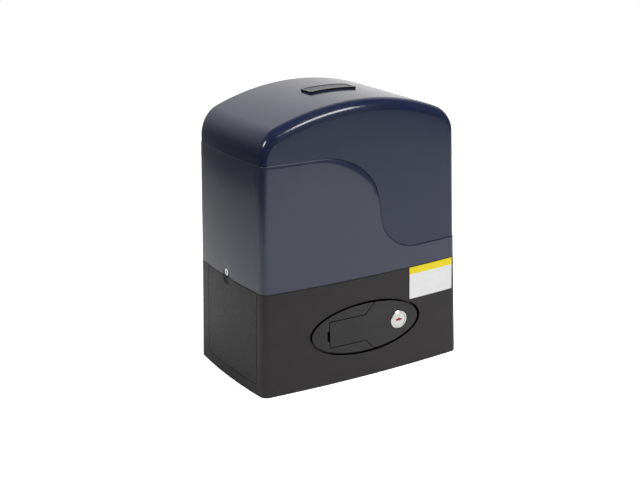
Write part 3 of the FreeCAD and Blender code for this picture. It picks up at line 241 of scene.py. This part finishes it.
def black_housing():
    m = Mat("textured_black_housing")
    # painted shade: the release opening's groove is made near black in the colour
    tone, deep = recess_painted_shade(m, vary(m, CHARCOAL, 0.10, 60.0))
    # painted shade: the band under the cover is made near black in the colour, standing in for the shadow in the gap
    z = m.axes()[2]
    gap = m.math("MULTIPLY", m.math("GREATER_THAN", z, 0.12142), m.math("LESS_THAN", z, 0.1230))
    m.color(m.mix(gap, tone, (0.0008, 0.0008, 0.0008)))
    grain = m.voronoi(1500.0)
    m.rough(m.span(m.noise(300.0, 3.0), 0.3, 0.7, 0.40, 0.50))
    m.set(IOR=1.46)
    m.bump(grain, 0.16, 0.0004)
    return m


def lever_plastic():
    m = Mat("satin_dark_release")
    # painted shade: the lever's gaps are made near black in the colour
    tone, deep = recess_painted_shade(m, vary(m, (0.0200, 0.0172, 0.0190), 0.12, 45.0))
    m.color(tone)
    m.rough(m.span(m.noise(240.0, 3.0), 0.3, 0.7, 0.38, 0.47))
    m.set(IOR=1.5)
    m.bump(m.voronoi(1800.0), 0.09, 0.0003)
    return m


def chromed_screw():
    m = Mat("chromed_screw")
    m.color(vary(m, (0.80, 0.79, 0.77), 0.05, 900.0))
    m.rough(m.span(m.noise(700.0), 0.3, 0.7, 0.10, 0.2))
    m.set(Metallic=1.0)
    return m


def badge_dark():
    m = Mat("badge_gloss_black")
    m.color(vary(m, (0.012, 0.012, 0.014), 0.2, 200.0))
    m.rough(m.span(m.noise(150.0), 0.3, 0.7, 0.16, 0.26))
    m.set(IOR=1.5)
    return m


def badge_chrome():
    m = Mat("badge_satin_plate")
    m.color(vary(m, (0.085, 0.087, 0.095), 0.2, 260.0))
    m.rough(m.span(m.noise(500.0, 2.0, 0.5, m.mapped((1, 12, 12))), 0.3, 0.7, 0.34, 0.46))
    m.set(Metallic=0.6)
    return m


def label_vinyl():
    m = Mat("label_vinyl")
    x, y, z = m.axes()
    edge = m.math("GREATER_THAN", z, 0.1128)
    white = vary(m, (0.93, 0.93, 0.94), 0.015, 120.0)
    yellow = vary(m, (0.99, 0.80, 0.004), 0.01, 120.0)
    m.color(m.mix(edge, white, yellow))
    m.rough(m.span(m.noise(200.0), 0.3, 0.7, 0.32, 0.42))
    m.set(IOR=1.45)
    return m


def nickel():
    m = Mat("nickel_lock")
    x, y, z = m.axes()
    # the keyway is filled with red paint, its warding a small bump on top
    def patch(cx, cz, hx, hz):
        a = m.math("LESS_THAN", m.math("ABSOLUTE", m.math("SUBTRACT", x, cx)), hx)
        return m.math("MULTIPLY", a, m.math("LESS_THAN", m.math("ABSOLUTE", m.math("SUBTRACT", z, cz)), hz))

    slit = m.math("MAXIMUM", patch(0.0446, 0.0606, 0.0040, 0.0012), patch(0.0447, 0.0622, 0.0012, 0.0009))
    slit = m.math("MULTIPLY", slit, m.math("LESS_THAN", y, -0.0808))
    m.color(m.mix(slit, vary(m, (0.66, 0.65, 0.63), 0.03, 60.0), (0.50, 0.012, 0.010)))
    m.rough(m.span(m.noise(120.0, 2.0), 0.3, 0.7, 0.20, 0.26))
    m.link(m.math("SUBTRACT", 1.0, slit), m.b.inputs["Metallic"])
    return m


def zinc_steel():
    m = Mat("zinc_plated_steel")
    m.color(vary(m, (0.60, 0.60, 0.585), 0.12, 130.0))
    m.rough(m.span(m.noise(220.0, 4.0), 0.3, 0.7, 0.28, 0.46))
    m.set(Metallic=1.0)
    return m


def cast_aluminium():
    m = Mat("cast_aluminium")
    m.color(vary(m, (0.50, 0.51, 0.52), 0.12, 50.0))
    m.rough(m.span(m.noise(180.0, 4.0), 0.3, 0.7, 0.42, 0.62))
    m.set(Metallic=0.9)
    m.bump(m.noise(900.0, 3.0), 0.25, 0.0005)
    return m


def rubber():
    m = Mat("black_rubber")
    m.color(vary(m, (0.02, 0.02, 0.02), 0.2, 140.0))
    m.rough(m.span(m.noise(250.0), 0.3, 0.7, 0.62, 0.8))
    m.bump(m.noise(1200.0), 0.1, 0.0004)
    return m


def bearing_steel():
    m = Mat("ground_bearing_steel")
    m.color(vary(m, (0.66, 0.66, 0.66), 0.06, 200.0))
    m.rough(m.span(m.noise(500.0), 0.3, 0.7, 0.16, 0.28))
    m.set(Metallic=1.0)
    return m


def machined_steel():
    m = Mat("machined_steel")
    m.color(vary(m, (0.50, 0.50, 0.51), 0.10, 110.0))
    m.rough(m.span(m.noise(420.0, 3.0, 0.6, m.mapped((1, 9, 1))), 0.3, 0.7, 0.24, 0.42))
    m.set(Metallic=1.0)
    m.bump(m.noise(700.0, 2.0, 0.5, m.mapped((1, 6, 1))), 0.08, 0.0003)
    return m


def bronze():
    m = Mat("gear_bronze")
    m.color(vary(m, (0.58, 0.38, 0.16), 0.12, 90.0))
    m.rough(m.span(m.noise(380.0, 3.0), 0.3, 0.7, 0.26, 0.42))
    m.set(Metallic=1.0)
    return m


def spring_steel():
    m = Mat("spring_steel")
    m.color(vary(m, (0.34, 0.34, 0.36), 0.12, 200.0))
    m.rough(m.span(m.noise(400.0), 0.3, 0.7, 0.28, 0.42))
    m.set(Metallic=1.0)
    return m


def core_steel():
    m = Mat("laminated_core")
    layers = m.wave(500.0, "Z", vector=m.mapped((1, 1, 1)))
    m.color(m.mix(layers, (0.10, 0.105, 0.11), (0.20, 0.205, 0.21)))
    m.rough(m.span(m.noise(200.0), 0.3, 0.7, 0.42, 0.6))
    m.set(Metallic=0.7)
    m.bump(layers, 0.3, 0.0004)
    return m


def copper_winding():
    m = Mat("enamelled_winding")
    w = m.wave(430.0, "Z", distortion=2.5)
    m.color(m.mix(w, (0.26, 0.09, 0.035), (0.58, 0.24, 0.10)))
    m.rough(m.span(w, 0.0, 1.0, 0.30, 0.46))
    m.set(Metallic=0.55)
    m.bump(w, 0.6, 0.0008)
    return m


def board_green():
    m = Mat("solder_mask_green")
    tracks = m.noise(95.0, 0.0, 0.0)
    line = m.math("LESS_THAN", m.math("ABSOLUTE", m.math("SUBTRACT", m.math("FRACT", m.math("MULTIPLY", tracks, 9.0)), 0.5)), 0.12)
    m.color(m.mix(line, (0.012, 0.11, 0.05), (0.03, 0.20, 0.085)))
    m.rough(m.span(m.noise(200.0), 0.3, 0.7, 0.3, 0.42))
    return m


def terminal_green():
    m = Mat("terminal_green")
    m.color(vary(m, (0.02, 0.26, 0.10), 0.1, 200.0))
    m.rough(m.span(m.noise(300.0), 0.3, 0.7, 0.35, 0.46))
    return m


def black_component():
    m = Mat("component_black")
    m.color(vary(m, (0.022, 0.022, 0.025), 0.2, 150.0))
    m.rough(m.span(m.noise(300.0), 0.3, 0.7, 0.38, 0.52))
    m.bump(m.noise(1500.0), 0.06, 0.0003)
    return m


def button_black():
    m = Mat("button_black")
    m.color(vary(m, (0.015, 0.015, 0.015), 0.2, 400.0))
    m.rough(m.span(m.noise(500.0), 0.3, 0.7, 0.35, 0.5))
    return m


def trimmer_blue():
    m = Mat("trimmer_blue")
    m.color(vary(m, (0.02, 0.09, 0.42), 0.12, 500.0))
    m.rough(m.span(m.noise(500.0), 0.3, 0.7, 0.3, 0.45))
    return m


def coil_tape():
    m = Mat("coil_tape_yellow")
    x, y, z = m.axes()
    lap = m.wave(60.0, "Z", profile="SAW")
    m.color(m.mix(lap, (0.60, 0.42, 0.06), (0.74, 0.55, 0.10)))
    m.rough(m.span(m.noise(200.0), 0.3, 0.7, 0.3, 0.45))
    m.bump(lap, 0.2, 0.0003)
    return m


def white_plastic():
    m = Mat("capacitor_white")
    m.color(vary(m, (0.72, 0.72, 0.69), 0.03, 60.0))
    m.rough(m.span(m.noise(200.0), 0.3, 0.7, 0.3, 0.42))
    return m


MAKERS = {
    "blue_cover": blue_cover, "black_housing": black_housing, "lever_plastic": lever_plastic,
    "chromed_screw": chromed_screw, "badge_dark": badge_dark, "badge_chrome": badge_chrome,
    "label_vinyl": label_vinyl, "nickel": nickel, "zinc_steel": zinc_steel, "cast_aluminium": cast_aluminium,
    "gasket_rubber": rubber, "bearing_steel": bearing_steel, "machined_steel": machined_steel, "bronze": bronze,
    "spring_steel": spring_steel, "core_steel": core_steel, "copper_winding": copper_winding,
    "board_green": board_green, "terminal_green": terminal_green, "black_component": black_component,
    "button_black": button_black, "trimmer_blue": trimmer_blue, "coil_tape": coil_tape,
    "white_plastic": white_plastic,
}
# painted light: the lower shell gets a lighter copy of the cap's navy, though both are the same plastic
SHELL_NAVY_PAINTED_LIGHTER = (0.0200, 0.0255, 0.0610)
shell_mat = blue_cover("gloss_navy_abs_lower", SHELL_NAVY_PAINTED_LIGHTER, 1.62).m

for name, obj in NODES.items():
    mat = shell_mat if name == "cover_lower_shell" else material(SLOT[name])
    if not obj.material_slots:
        obj.data.materials.append(mat)
    for s in obj.material_slots:
        s.material = mat


# ---- lower cover shell with its rolled S edge ---------------------------------------------------------------------------
SEAM = [(-39, 265.7), (-26.4, 262.1), (-13.6, 256.3), (-0.6, 246.9), (6.3, 240.1), (12.8, 230.4), (17.2, 218.2),
        (19.3, 204.0), (20.9, 188.2), (25.6, 173.6), (32.8, 163.8), (40.0, 157.4), (54.2, 150.4)]
SEAM_L, SEAM_R, LOW = 267.1, 147.9, 122.4


def halves(z, off):
    t = (z - 122.0) / 204.8
    return 134.5 - 4.4 * t + off, 81.95 - 2.75 * t + off


def meet(c0, r0, c1, r1, want):
    """The crossing of two circles that lies nearest to a point."""
    dx, dy = c1[0] - c0[0], c1[1] - c0[1]
    d = math.hypot(dx, dy)
    a = (r0 * r0 - r1 * r1 + d * d) / (2 * d)
    h = math.sqrt(max(r0 * r0 - a * a, 0.0))
    px, py = c0[0] + a * dx / d, c0[1] + a * dy / d
    pts = [(px - h * dy / d, py + h * dx / d), (px + h * dy / d, py - h * dx / d)]
    return min(pts, key=lambda p: (p[0] - want[0]) ** 2 + (p[1] - want[1]) ** 2)


def section(z, off):
    """Circles of the cover's outline at a height: front arc, side arc and the corner rounds of the right half."""
    hw, hd = halves(z, off)
    a, d = hw - 4.3, hd - 6.4
    rf = (a * a + 6.4 ** 2) / 12.8
    c = (hd + d) / 2
    rs = (c * c + 4.3 ** 2) / 8.6
    cf, cs = (0.0, -hd + rf), (hw - rs, (hd - d) / 2)
    r = 8.9 + off
    k = meet(cf, rf - r, cs, rs - r, (a - r, -d + r))
    kb_y = hd - r
    kb = (cs[0] + math.sqrt((rs - r) ** 2 - (kb_y - cs[1]) ** 2), kb_y)
    af0 = math.atan2(k[1] - cf[1], k[0] - cf[0])
    af1 = math.atan2(k[1] - cs[1], k[0] - cs[0])
    ab0 = math.atan2(kb[1] - cs[1], kb[0] - cs[0])
    return {"hd": hd, "rf": rf, "cf": cf, "rs": rs, "cs": cs, "r": r, "k": k, "kb": kb, "af0": af0, "af1": af1, "ab0": ab0}


def on_cover(col, shift, z, off):
    """Point and outward normal of a column moved along the front or back by shift, at a height."""
    kind, sgn, u = col
    q = section(z, off)
    if kind == "front":
        x = u + shift
        y = q["cf"][1] - math.sqrt(q["rf"] ** 2 - x * x)
        n = (x / q["rf"], (y - q["cf"][1]) / q["rf"])
        return (x, y), n
    if kind == "back":
        return (u + shift, q["hd"]), (0.0, 1.0)
    if kind == "side":
        a = q["af1"] + (q["ab0"] - q["af1"]) * u
        n = (math.cos(a), math.sin(a))
        return (sgn * (q["cs"][0] + q["rs"] * n[0]), q["cs"][1] + q["rs"] * n[1]), (sgn * n[0], n[1])
    a0, a1, c = (q["af0"], q["af1"], q["k"]) if kind == "corner_front" else (q["ab0"], math.pi / 2, q["kb"])
    a = a0 + (a1 - a0) * u
    n = (math.cos(a), math.sin(a))
    return (sgn * (c[0] + q["r"] * n[0]), c[1] + q["r"] * n[1]), (sgn * n[0], n[1])


def seam_line():
    """The seam from left to right as (x, z, normal x, normal z); the normal looks down into the lower shell."""
    pts = [(-54.0, SEAM_L)] + SEAM + [(72.0, SEAM_R)]
    knots = [0.0]
    for p, q in zip(pts, pts[1:]):
        knots.append(knots[-1] + math.hypot(q[0] - p[0], q[1] - p[1]))
    tan = []
    for i in range(len(pts)):
        if i in (0, len(pts) - 1):
            tan.append((1.0, 0.0))
        else:
            h0, h1 = knots[i] - knots[i - 1], knots[i + 1] - knots[i]
            d0 = [(pts[i][j] - pts[i - 1][j]) / h0 for j in (0, 1)]
            d1 = [(pts[i + 1][j] - pts[i][j]) / h1 for j in (0, 1)]
            tan.append(tuple((d0[j] * h1 + d1[j] * h0) / (h0 + h1) for j in (0, 1)))
    out = []
    for i in range(len(pts) - 1):
        h = knots[i + 1] - knots[i]
        n = max(3, int(round(h / 1.7)))
        for k in range(n):
            t = k / n
            b0, b1 = 2 * t ** 3 - 3 * t ** 2 + 1, t ** 3 - 2 * t ** 2 + t
            b2, b3 = -2 * t ** 3 + 3 * t ** 2, t ** 3 - t ** 2
            e0, e1, e2, e3 = 6 * t * t - 6 * t, 3 * t * t - 4 * t + 1, -6 * t * t + 6 * t, 3 * t * t - 2 * t
            p = [b0 * pts[i][j] + b1 * h * tan[i][j] + b2 * pts[i + 1][j] + b3 * h * tan[i + 1][j] for j in (0, 1)]
            d = [e0 * pts[i][j] + e1 * h * tan[i][j] + e2 * pts[i + 1][j] + e3 * h * tan[i + 1][j] for j in (0, 1)]
            m = math.hypot(*d)
            out.append((p[0], p[1], d[1] / m, -d[0] / m))
    out.append((72.0, SEAM_R, 0.0, -1.0))
    return out


def soft(t):
    t = min(1.0, max(0.0, t))
    return t * t * (3 - 2 * t)


def roll(x, front):
    """Width and depth of the edge's soft fall at a place along the seam: widest on the S curve's upper bend."""
    bend = soft((x + 74.0) / 62.0) * soft((20.5 - x) / 6.0)
    start = soft((x + 128.0) / 8.0) * soft((-30.0 - x) / 60.0)
    width = 1.5 + 8.6 * bend + 2.2 * start
    depth = 0.30 + 0.90 * bend + 0.22 * start
    return (width, depth) if front else (1.5, 0.3)


def lower_shell():
    cols = []
    line = seam_line()
    gap = 0.175
    q_top = {z: section(z, 0.0) for z in (SEAM_L, SEAM_R)}
    xl = -(q_top[SEAM_L]["k"][0] + q_top[SEAM_L]["r"] * math.cos(q_top[SEAM_L]["af0"]))
    xr = q_top[SEAM_R]["k"][0] + q_top[SEAM_R]["r"] * math.cos(q_top[SEAM_R]["af0"])
    xb_l, xb_r = -q_top[SEAM_L]["kb"][0], q_top[SEAM_R]["kb"][0]
    low_q = section(LOW, 0.0)
    low_f = low_q["k"][0] + low_q["r"] * math.cos(low_q["af0"])
    low_b = low_q["kb"][0]

    def run(kind, left, right, low_x):
        pts = [(left + (-54.0 - left) * k / 12, SEAM_L, 0.0, -1.0) for k in range(12)]
        pts += line
        pts += [(72.0 + (right - 72.0) * k / 10, SEAM_R, 0.0, -1.0) for k in range(1, 11)]
        length = [0.0]
        for p, q in zip(pts, pts[1:]):
            length.append(length[-1] + math.hypot(q[0] - p[0], q[1] - p[1]))
        return [((kind, 1, p[0]), p[1], p[2], p[3], -low_x + 2 * low_x * length[i] / length[-1]) for i, p in enumerate(pts)]

    cols += run("front", xl, xr, low_f)
    cols += [(("corner_front", 1, k / 10), SEAM_R, 0.0, -1.0, None) for k in range(1, 10)]
    cols += [(("side", 1, k / 16), SEAM_R, 0.0, -1.0, None) for k in range(17)]
    cols += [(("corner_back", 1, k / 10), SEAM_R, 0.0, -1.0, None) for k in range(1, 10)]
    cols += list(reversed(run("back", xb_l, xb_r, low_b)))
    cols += [(("corner_back", -1, 1 - k / 10), SEAM_L, 0.0, -1.0, None) for k in range(1, 10)]
    cols += [(("side", -1, 1 - k / 16), SEAM_L, 0.0, -1.0, None) for k in range(17)]
    cols += [(("corner_front", -1, 1 - k / 10), SEAM_L, 0.0, -1.0, None) for k in range(1, 10)]
    near = [0.0, 0.03, 0.09, 0.17, 0.28, 0.42, 0.6, 0.85, 1.15, 1.5, 1.9, 2.4, 3.0, 3.7, 4.5, 5.4, 6.4, 7.6, 9.0, 10.5]
    far = [k / 14 for k in range(1, 15)]
    bm = bmesh.new()
    outer, inner = [], []
    for col, top, nx, nz, low_x in cols:
        kind, sgn, u = col
        width, depth = roll(u if kind in ("front", "back") else 90.0 * sgn, kind == "front")
        if kind not in ("front", "back"):
            nx = 0.0

        def place(dist, off, z=None, shift=None):
            s = gap + dist
            zz = top + nz * s if z is None else z
            sh = nx * s if shift is None else shift
            (x, y), n = on_cover(col, sh, zz, off)
            d = 0.0
            if off == 0.0:
                if dist < width:
                    d += depth * (1 - dist / width) ** 2
                if dist < 0.42:
                    w = 1 - dist / 0.42
                    d += 0.34 * (1 - math.sqrt(max(0.0, 1 - w * w)))
            return ((x - n[0] * d) / 1000, (y - n[1] * d) / 1000, zz / 1000)

        last = near[-1]
        z1, s1 = top + nz * (gap + last), nx * (gap + last)
        end = (low_x - u) if low_x is not None else 0.0
        column = [place(d, 0.0) for d in near]
        column += [place(99.0, 0.0, z1 + (LOW - z1) * t, s1 + (end - s1) * t) for t in far]
        outer.append([bm.verts.new(p) for p in column])
        column = [place(0.0, -2.8), place(last, -2.8)]
        column += [place(99.0, -2.8, z1 + (LOW - z1) * t, s1 + (end - s1) * t) for t in far]
        inner.append([bm.verts.new(p) for p in column])
    n = len(cols)
    for i in range(n):
        a, b = outer[i], outer[(i + 1) % n]
        for k in range(len(a) - 1):
            bm.faces.new((a[k], a[k + 1], b[k + 1], b[k]))
        c, d = inner[i], inner[(i + 1) % n]
        for k in range(len(c) - 1):
            bm.faces.new((d[k], d[k + 1], c[k + 1], c[k]))
        bm.faces.new((b[0], d[0], c[0], a[0]))
        bm.faces.new((a[-1], c[-1], d[-1], b[-1]))
    bmesh.ops.recalc_face_normals(bm, faces=bm.faces)
    me = bpy.data.meshes.new("lower_shell_rolled")
    bm.to_mesh(me)
    bm.free()
    return me


def ball_cap(side):
    """Closed lens that scoops the shallow hollow round a cover screw."""
    r = (10.25 ** 2 + 1.6 ** 2) / 3.2
    bm = bmesh.new()
    cx, cy, cz = side * (134.5 + r - 1.6), 5.0, 123.3
    rings = []
    tip = bm.verts.new(((cx - side * r) / 1000, cy / 1000, cz / 1000))
    for k in range(1, 15):
        a = math.radians(28.0) * k / 14
        rings.append([
            bm.verts.new(((cx - side * r * math.cos(a)) / 1000, (cy + r * math.sin(a) * math.cos(2 * math.pi * j / 72)) / 1000,
                          (cz + r * math.sin(a) * math.sin(2 * math.pi * j / 72)) / 1000)) for j in range(72)])
    for j in range(72):
        bm.faces.new((tip, rings[0][j], rings[0][(j + 1) % 72]))
        for a, b in zip(rings, rings[1:]):
            bm.faces.new((a[j], b[j], b[(j + 1) % 72], a[(j + 1) % 72]))
    bm.faces.new(rings[-1])
    bmesh.ops.recalc_face_normals(bm, faces=bm.faces)
    me = bpy.data.meshes.new("scoop_tool")
    bm.to_mesh(me)
    bm.free()
    return me


def rod(x0, x1, y, z, r, seg=48, hole=None, floor_z=None):
    """Closed round bar along X, or a ring if hole is given, cut flat under floor_z."""
    bm = bmesh.new()
    rows = []
    for radius, xs in ((r, (x0, x1)),) if hole is None else ((r, (x0, x1)), (hole, (x1, x0))):
        for x in xs:
            rows.append([bm.verts.new((x / 1000, (y + radius * math.cos(2 * math.pi * j / seg)) / 1000,
                                       (z + radius * math.sin(2 * math.pi * j / seg)) / 1000)) for j in range(seg)])
    if hole is None:
        bm.faces.new(rows[0])
        bm.faces.new(list(reversed(rows[1])))
        pairs = [(rows[0], rows[1])]
    else:
        pairs = [(rows[k], rows[(k + 1) % 4]) for k in range(4)]
    for a, b in pairs:
        for j in range(seg):
            bm.faces.new((a[j], a[(j + 1) % seg], b[(j + 1) % seg], b[j]))
    if floor_z is not None:
        cut = bmesh.ops.bisect_plane(bm, geom=bm.verts[:] + bm.edges[:] + bm.faces[:], plane_co=(0, 0, floor_z / 1000),
                                     plane_no=(0, 0, -1), clear_outer=True)
        bmesh.ops.holes_fill(bm, edges=[e for e in bm.edges if e.is_boundary])
    bmesh.ops.recalc_face_normals(bm, faces=bm.faces)
    me = bpy.data.meshes.new("bar_tool")
    bm.to_mesh(me)
    bm.free()
    return me


def slab(x0, x1, y0, y1, z0, z1):
    bm = bmesh.new()
    v = [bm.verts.new((x / 1000, y / 1000, z / 1000)) for x in (x0, x1) for y in (y0, y1) for z in (z0, z1)]
    for f in ((0, 1, 3, 2), (4, 6, 7, 5), (0, 4, 5, 1), (2, 3, 7, 6), (0, 2, 6, 4), (1, 5, 7, 3)):
        bm.faces.new([v[i] for i in f])
    bmesh.ops.recalc_face_normals(bm, faces=bm.faces)
    me = bpy.data.meshes.new("block_tool")
    bm.to_mesh(me)
    bm.free()
    return me


def carve(obj, tool_mesh):
    tool = bpy.data.objects.new("tool", tool_mesh)
    sc.collection.objects.link(tool)
    mod = obj.modifiers.new("carve", "BOOLEAN")
    mod.operation = "DIFFERENCE"
    mod.solver = "EXACT"
    mod.object = tool
    bpy.context.view_layer.update()
    deps = bpy.context.evaluated_depsgraph_get()
    done = bpy.data.meshes.new_from_object(obj.evaluated_get(deps))
    obj.modifiers.remove(mod)
    old = obj.data
    obj.data = done
    bpy.data.meshes.remove(old)
    bpy.data.objects.remove(tool)
    bpy.data.meshes.remove(tool_mesh)


shell = bpy.data.objects.new("lower_shell_rolled", lower_shell())
sc.collection.objects.link(shell)
shell.data.materials.append(shell_mat)
for side in (-1, 1):
    x0, x1 = sorted((side * 124.0, side * 150.0))
    carve(shell, ball_cap(side))
    carve(shell, rod(x0, x1, 5.0, 128.0, 5.0))
    carve(shell, slab(x0, x1, 2.5, 7.5, 117.0, 128.0))
seats = bmesh.new()
seats.from_mesh(shell.data)
for side in (-1, 1):
    x0, x1 = sorted((side * 128.5, side * 131.2))
    ring_mesh = rod(x0, x1, 5.0, 128.0, 9.0, hole=2.5, floor_z=LOW)
    seats.from_mesh(ring_mesh)
    bpy.data.meshes.remove(ring_mesh)
seats.to_mesh(shell.data)
seats.free()
shell.data.shade_smooth()
shell.data.set_sharp_from_angle(angle=math.radians(38.0))
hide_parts("cover_lower_shell")
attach(shell, "cover")


# ---- studio -----------------------------------------------------------------------------------------------------------
def floor():
    """A plain paper floor. It runs far back and ends closer in front, so the near corner mirrors the dark room."""
    me = bpy.data.meshes.new("studio_floor")
    n = 96
    bm = bmesh.new()
    ring = []
    for k in range(n):
        a = 2 * math.pi * k / n
        deg = math.degrees(a)
        # reach of the paper by direction: 210 degrees is towards the camera's left, 300 towards its right
        stops = [(0, 1.5), (60, 1.9), (98, 1.3), (112, 1.10), (125, 1.02), (150, 0.96), (180, 0.96), (200, 0.95), (211, 0.76),
                 (222, 0.98), (250, 1.15), (275, 1.42), (292, 1.90), (304, 1.80), (316, 1.60), (330, 1.5), (360, 1.5)]
        for (d0, r0), (d1, r1) in zip(stops, stops[1:]):
            if d0 <= deg <= d1:
                reach = r0 + (r1 - r0) * (deg - d0) / (d1 - d0)
        ring.append(bm.verts.new((reach * math.cos(a), reach * math.sin(a), 0)))
    bm.faces.new(ring)
    bm.to_mesh(me)
    bm.free()
    o = bpy.data.objects.new("studio_floor", me)
    sc.collection.objects.link(o)
    m = Mat("floor_paper")
    x, y, z = m.axes()
    # painted shade: the paper's colour darkens behind the part on the left, standing in for its light falling off
    away = m.math("ADD", m.math("MULTIPLY", x, -0.52), m.math("MULTIPLY", y, 0.855))
    painted_falloff = m.span(away, 0.35, 1.10, 0.0, 0.45, True)
    m.color(m.mix(painted_falloff, vary(m, (0.93, 0.93, 0.93), 0.004, 3.0), (0.12, 0.12, 0.12)))
    m.rough(0.9)
    m.set(IOR=1.2, Emission_Color=(1, 1, 1, 1))
    # the photograph's floor is burnt out to plain white, which the mirrors on the part don't show
    seen = m.n("ShaderNodeLightPath").outputs["Is Camera Ray"]
    m.link(m.math("MULTIPLY", seen, 0.75), m.b.inputs["Emission Strength"])
    me.materials.append(m.m)
    return o


floor()


def area(name, loc, target, size, power, color=(1, 1, 1), size_y=None):
    d = bpy.data.lights.new(name, "AREA")
    d.shape = "RECTANGLE"
    d.size = size
    d.size_y = size_y or size
    d.energy = power
    d.color = color
    o = bpy.data.objects.new(name, d)
    sc.collection.objects.link(o)
    o.location = loc
    o.rotation_euler = (Vector(target) - Vector(loc)).to_track_quat("-Z", "Y").to_euler()
    return o


# the big softbox lights the room but isn't mirrored; the long narrow strip draws the line along the front top edge
area("overhead_softbox", (0.26, -0.66, 2.1), (0.12, -0.36, 0.0), 1.4, 50.0, size_y=1.1).visible_glossy = False
# the next three are only mirrored in the gloss and add nothing to the soft light
for mirrored in (area("edge_strip", (0.50, -1.46, 1.58), (0.0, -0.08, 0.3), 0.95, 22.0, size_y=0.46),
                 area("left_spot_box", (-1.80, -0.12, 1.64), (-0.1, 0.0, 0.3), 0.55, 17.0, size_y=0.50),
                 area("front_card", (0.66, -1.98, 0.82), (0.0, -0.08, 0.3), 1.3, 1.5, size_y=1.15)):
    mirrored.visible_diffuse = False

world = bpy.data.worlds.new("studio")
sc.world = world
world.use_nodes = True
wt = world.node_tree
wt.nodes.clear()


def wn(kind, **values):
    node = wt.nodes.new(kind)
    for k, v in values.items():
        setattr(node, k, v)
    return node


def wmath(op, a, b=None, clamp=False):
    node = wn("ShaderNodeMath", operation=op, use_clamp=clamp)
    for i, v in enumerate((a, b)):
        if v is None:
            continue
        if isinstance(v, (int, float)):
            node.inputs[i].default_value = v
        else:
            wt.links.new(v, node.inputs[i])
    return node.outputs[0]


def wstep(value, f0, f1, t0, t1):
    node = wn("ShaderNodeMapRange")
    node.interpolation_type = "SMOOTHSTEP"
    for i, v in enumerate((value, f0, f1, t0, t1)):
        if isinstance(v, (int, float)):
            node.inputs[i].default_value = v
        else:
            wt.links.new(v, node.inputs[i])
    return node.outputs[0]


wo = wn("ShaderNodeOutputWorld")
cam_bg = wn("ShaderNodeBackground")
cam_bg.inputs[0].default_value = (1, 1, 1, 1)
cam_bg.inputs[1].default_value = 1.0
env_bg = wn("ShaderNodeBackground")
env_bg.inputs[0].default_value = (1.0, 0.985, 0.955, 1)
lp = wn("ShaderNodeLightPath")
mixs = wn("ShaderNodeMixShader")
wt.links.new(lp.outputs["Is Camera Ray"], mixs.inputs[0])
wt.links.new(env_bg.outputs[0], mixs.inputs[1])
wt.links.new(cam_bg.outputs[0], mixs.inputs[2])
wt.links.new(mixs.outputs[0], wo.inputs[0])
tc = wn("ShaderNodeTexCoord")
sep = wn("ShaderNodeSeparateXYZ")
wt.links.new(tc.outputs["Generated"], sep.inputs[0])
wx, wy, wz = sep.outputs
# a lit backdrop behind the object up to some 45 degrees, a darker room in front and above
back = wstep(wy, 0.10, 0.75, 0.0, 1.0)
low = wstep(wz, 0.60, 0.90, 1.0, 0.35)
side = wstep(wx, -0.75, 0.45, 0.42, 1.12)
glow = wmath("MULTIPLY", wmath("MULTIPLY", back, low), side)
# below the horizon the room is dark on the left and lit on the right
under = wstep(wz, -0.12, 0.0, 1.0, 0.0)
shade = wmath("SUBTRACT", 1.0, wmath("MULTIPLY", under, wstep(wx, -0.25, 0.25, 0.72, 0.0)))
left = wmath("MULTIPLY", wstep(wx, -0.45, -0.05, 0.88, 0.0), wstep(wz, 0.02, 0.50, 1.0, 0.0))
shade = wmath("MULTIPLY", shade, wmath("SUBTRACT", 1.0, left))
env = wmath("ADD", wmath("MULTIPLY", wmath("MULTIPLY", glow, shade), 0.80), 0.10)
wt.links.new(env, env_bg.inputs[1])

# ---- camera at the photograph's angle ---------------------------------------------------------------------------------
cd = bpy.data.cameras.new("photo_camera")
cd.sensor_width = 36.0
cd.sensor_fit = "HORIZONTAL"
cd.lens = 71.37
cd.clip_start = 0.05
cam = bpy.data.objects.new("photo_camera", cd)
sc.collection.objects.link(cam)
R = Vector((0.8583774, -0.51287324, -0.01221825))
U = Vector((0.16676578, 0.25642862, 0.95206803))
B = -Vector((0.48515711, 0.81927126, -0.30564224))
rot = Matrix((R, U, B)).transposed().to_4x4()
cam.matrix_world = Matrix.Translation((-0.742014, -1.231763, 0.605902)) @ rot
sc.camera = cam
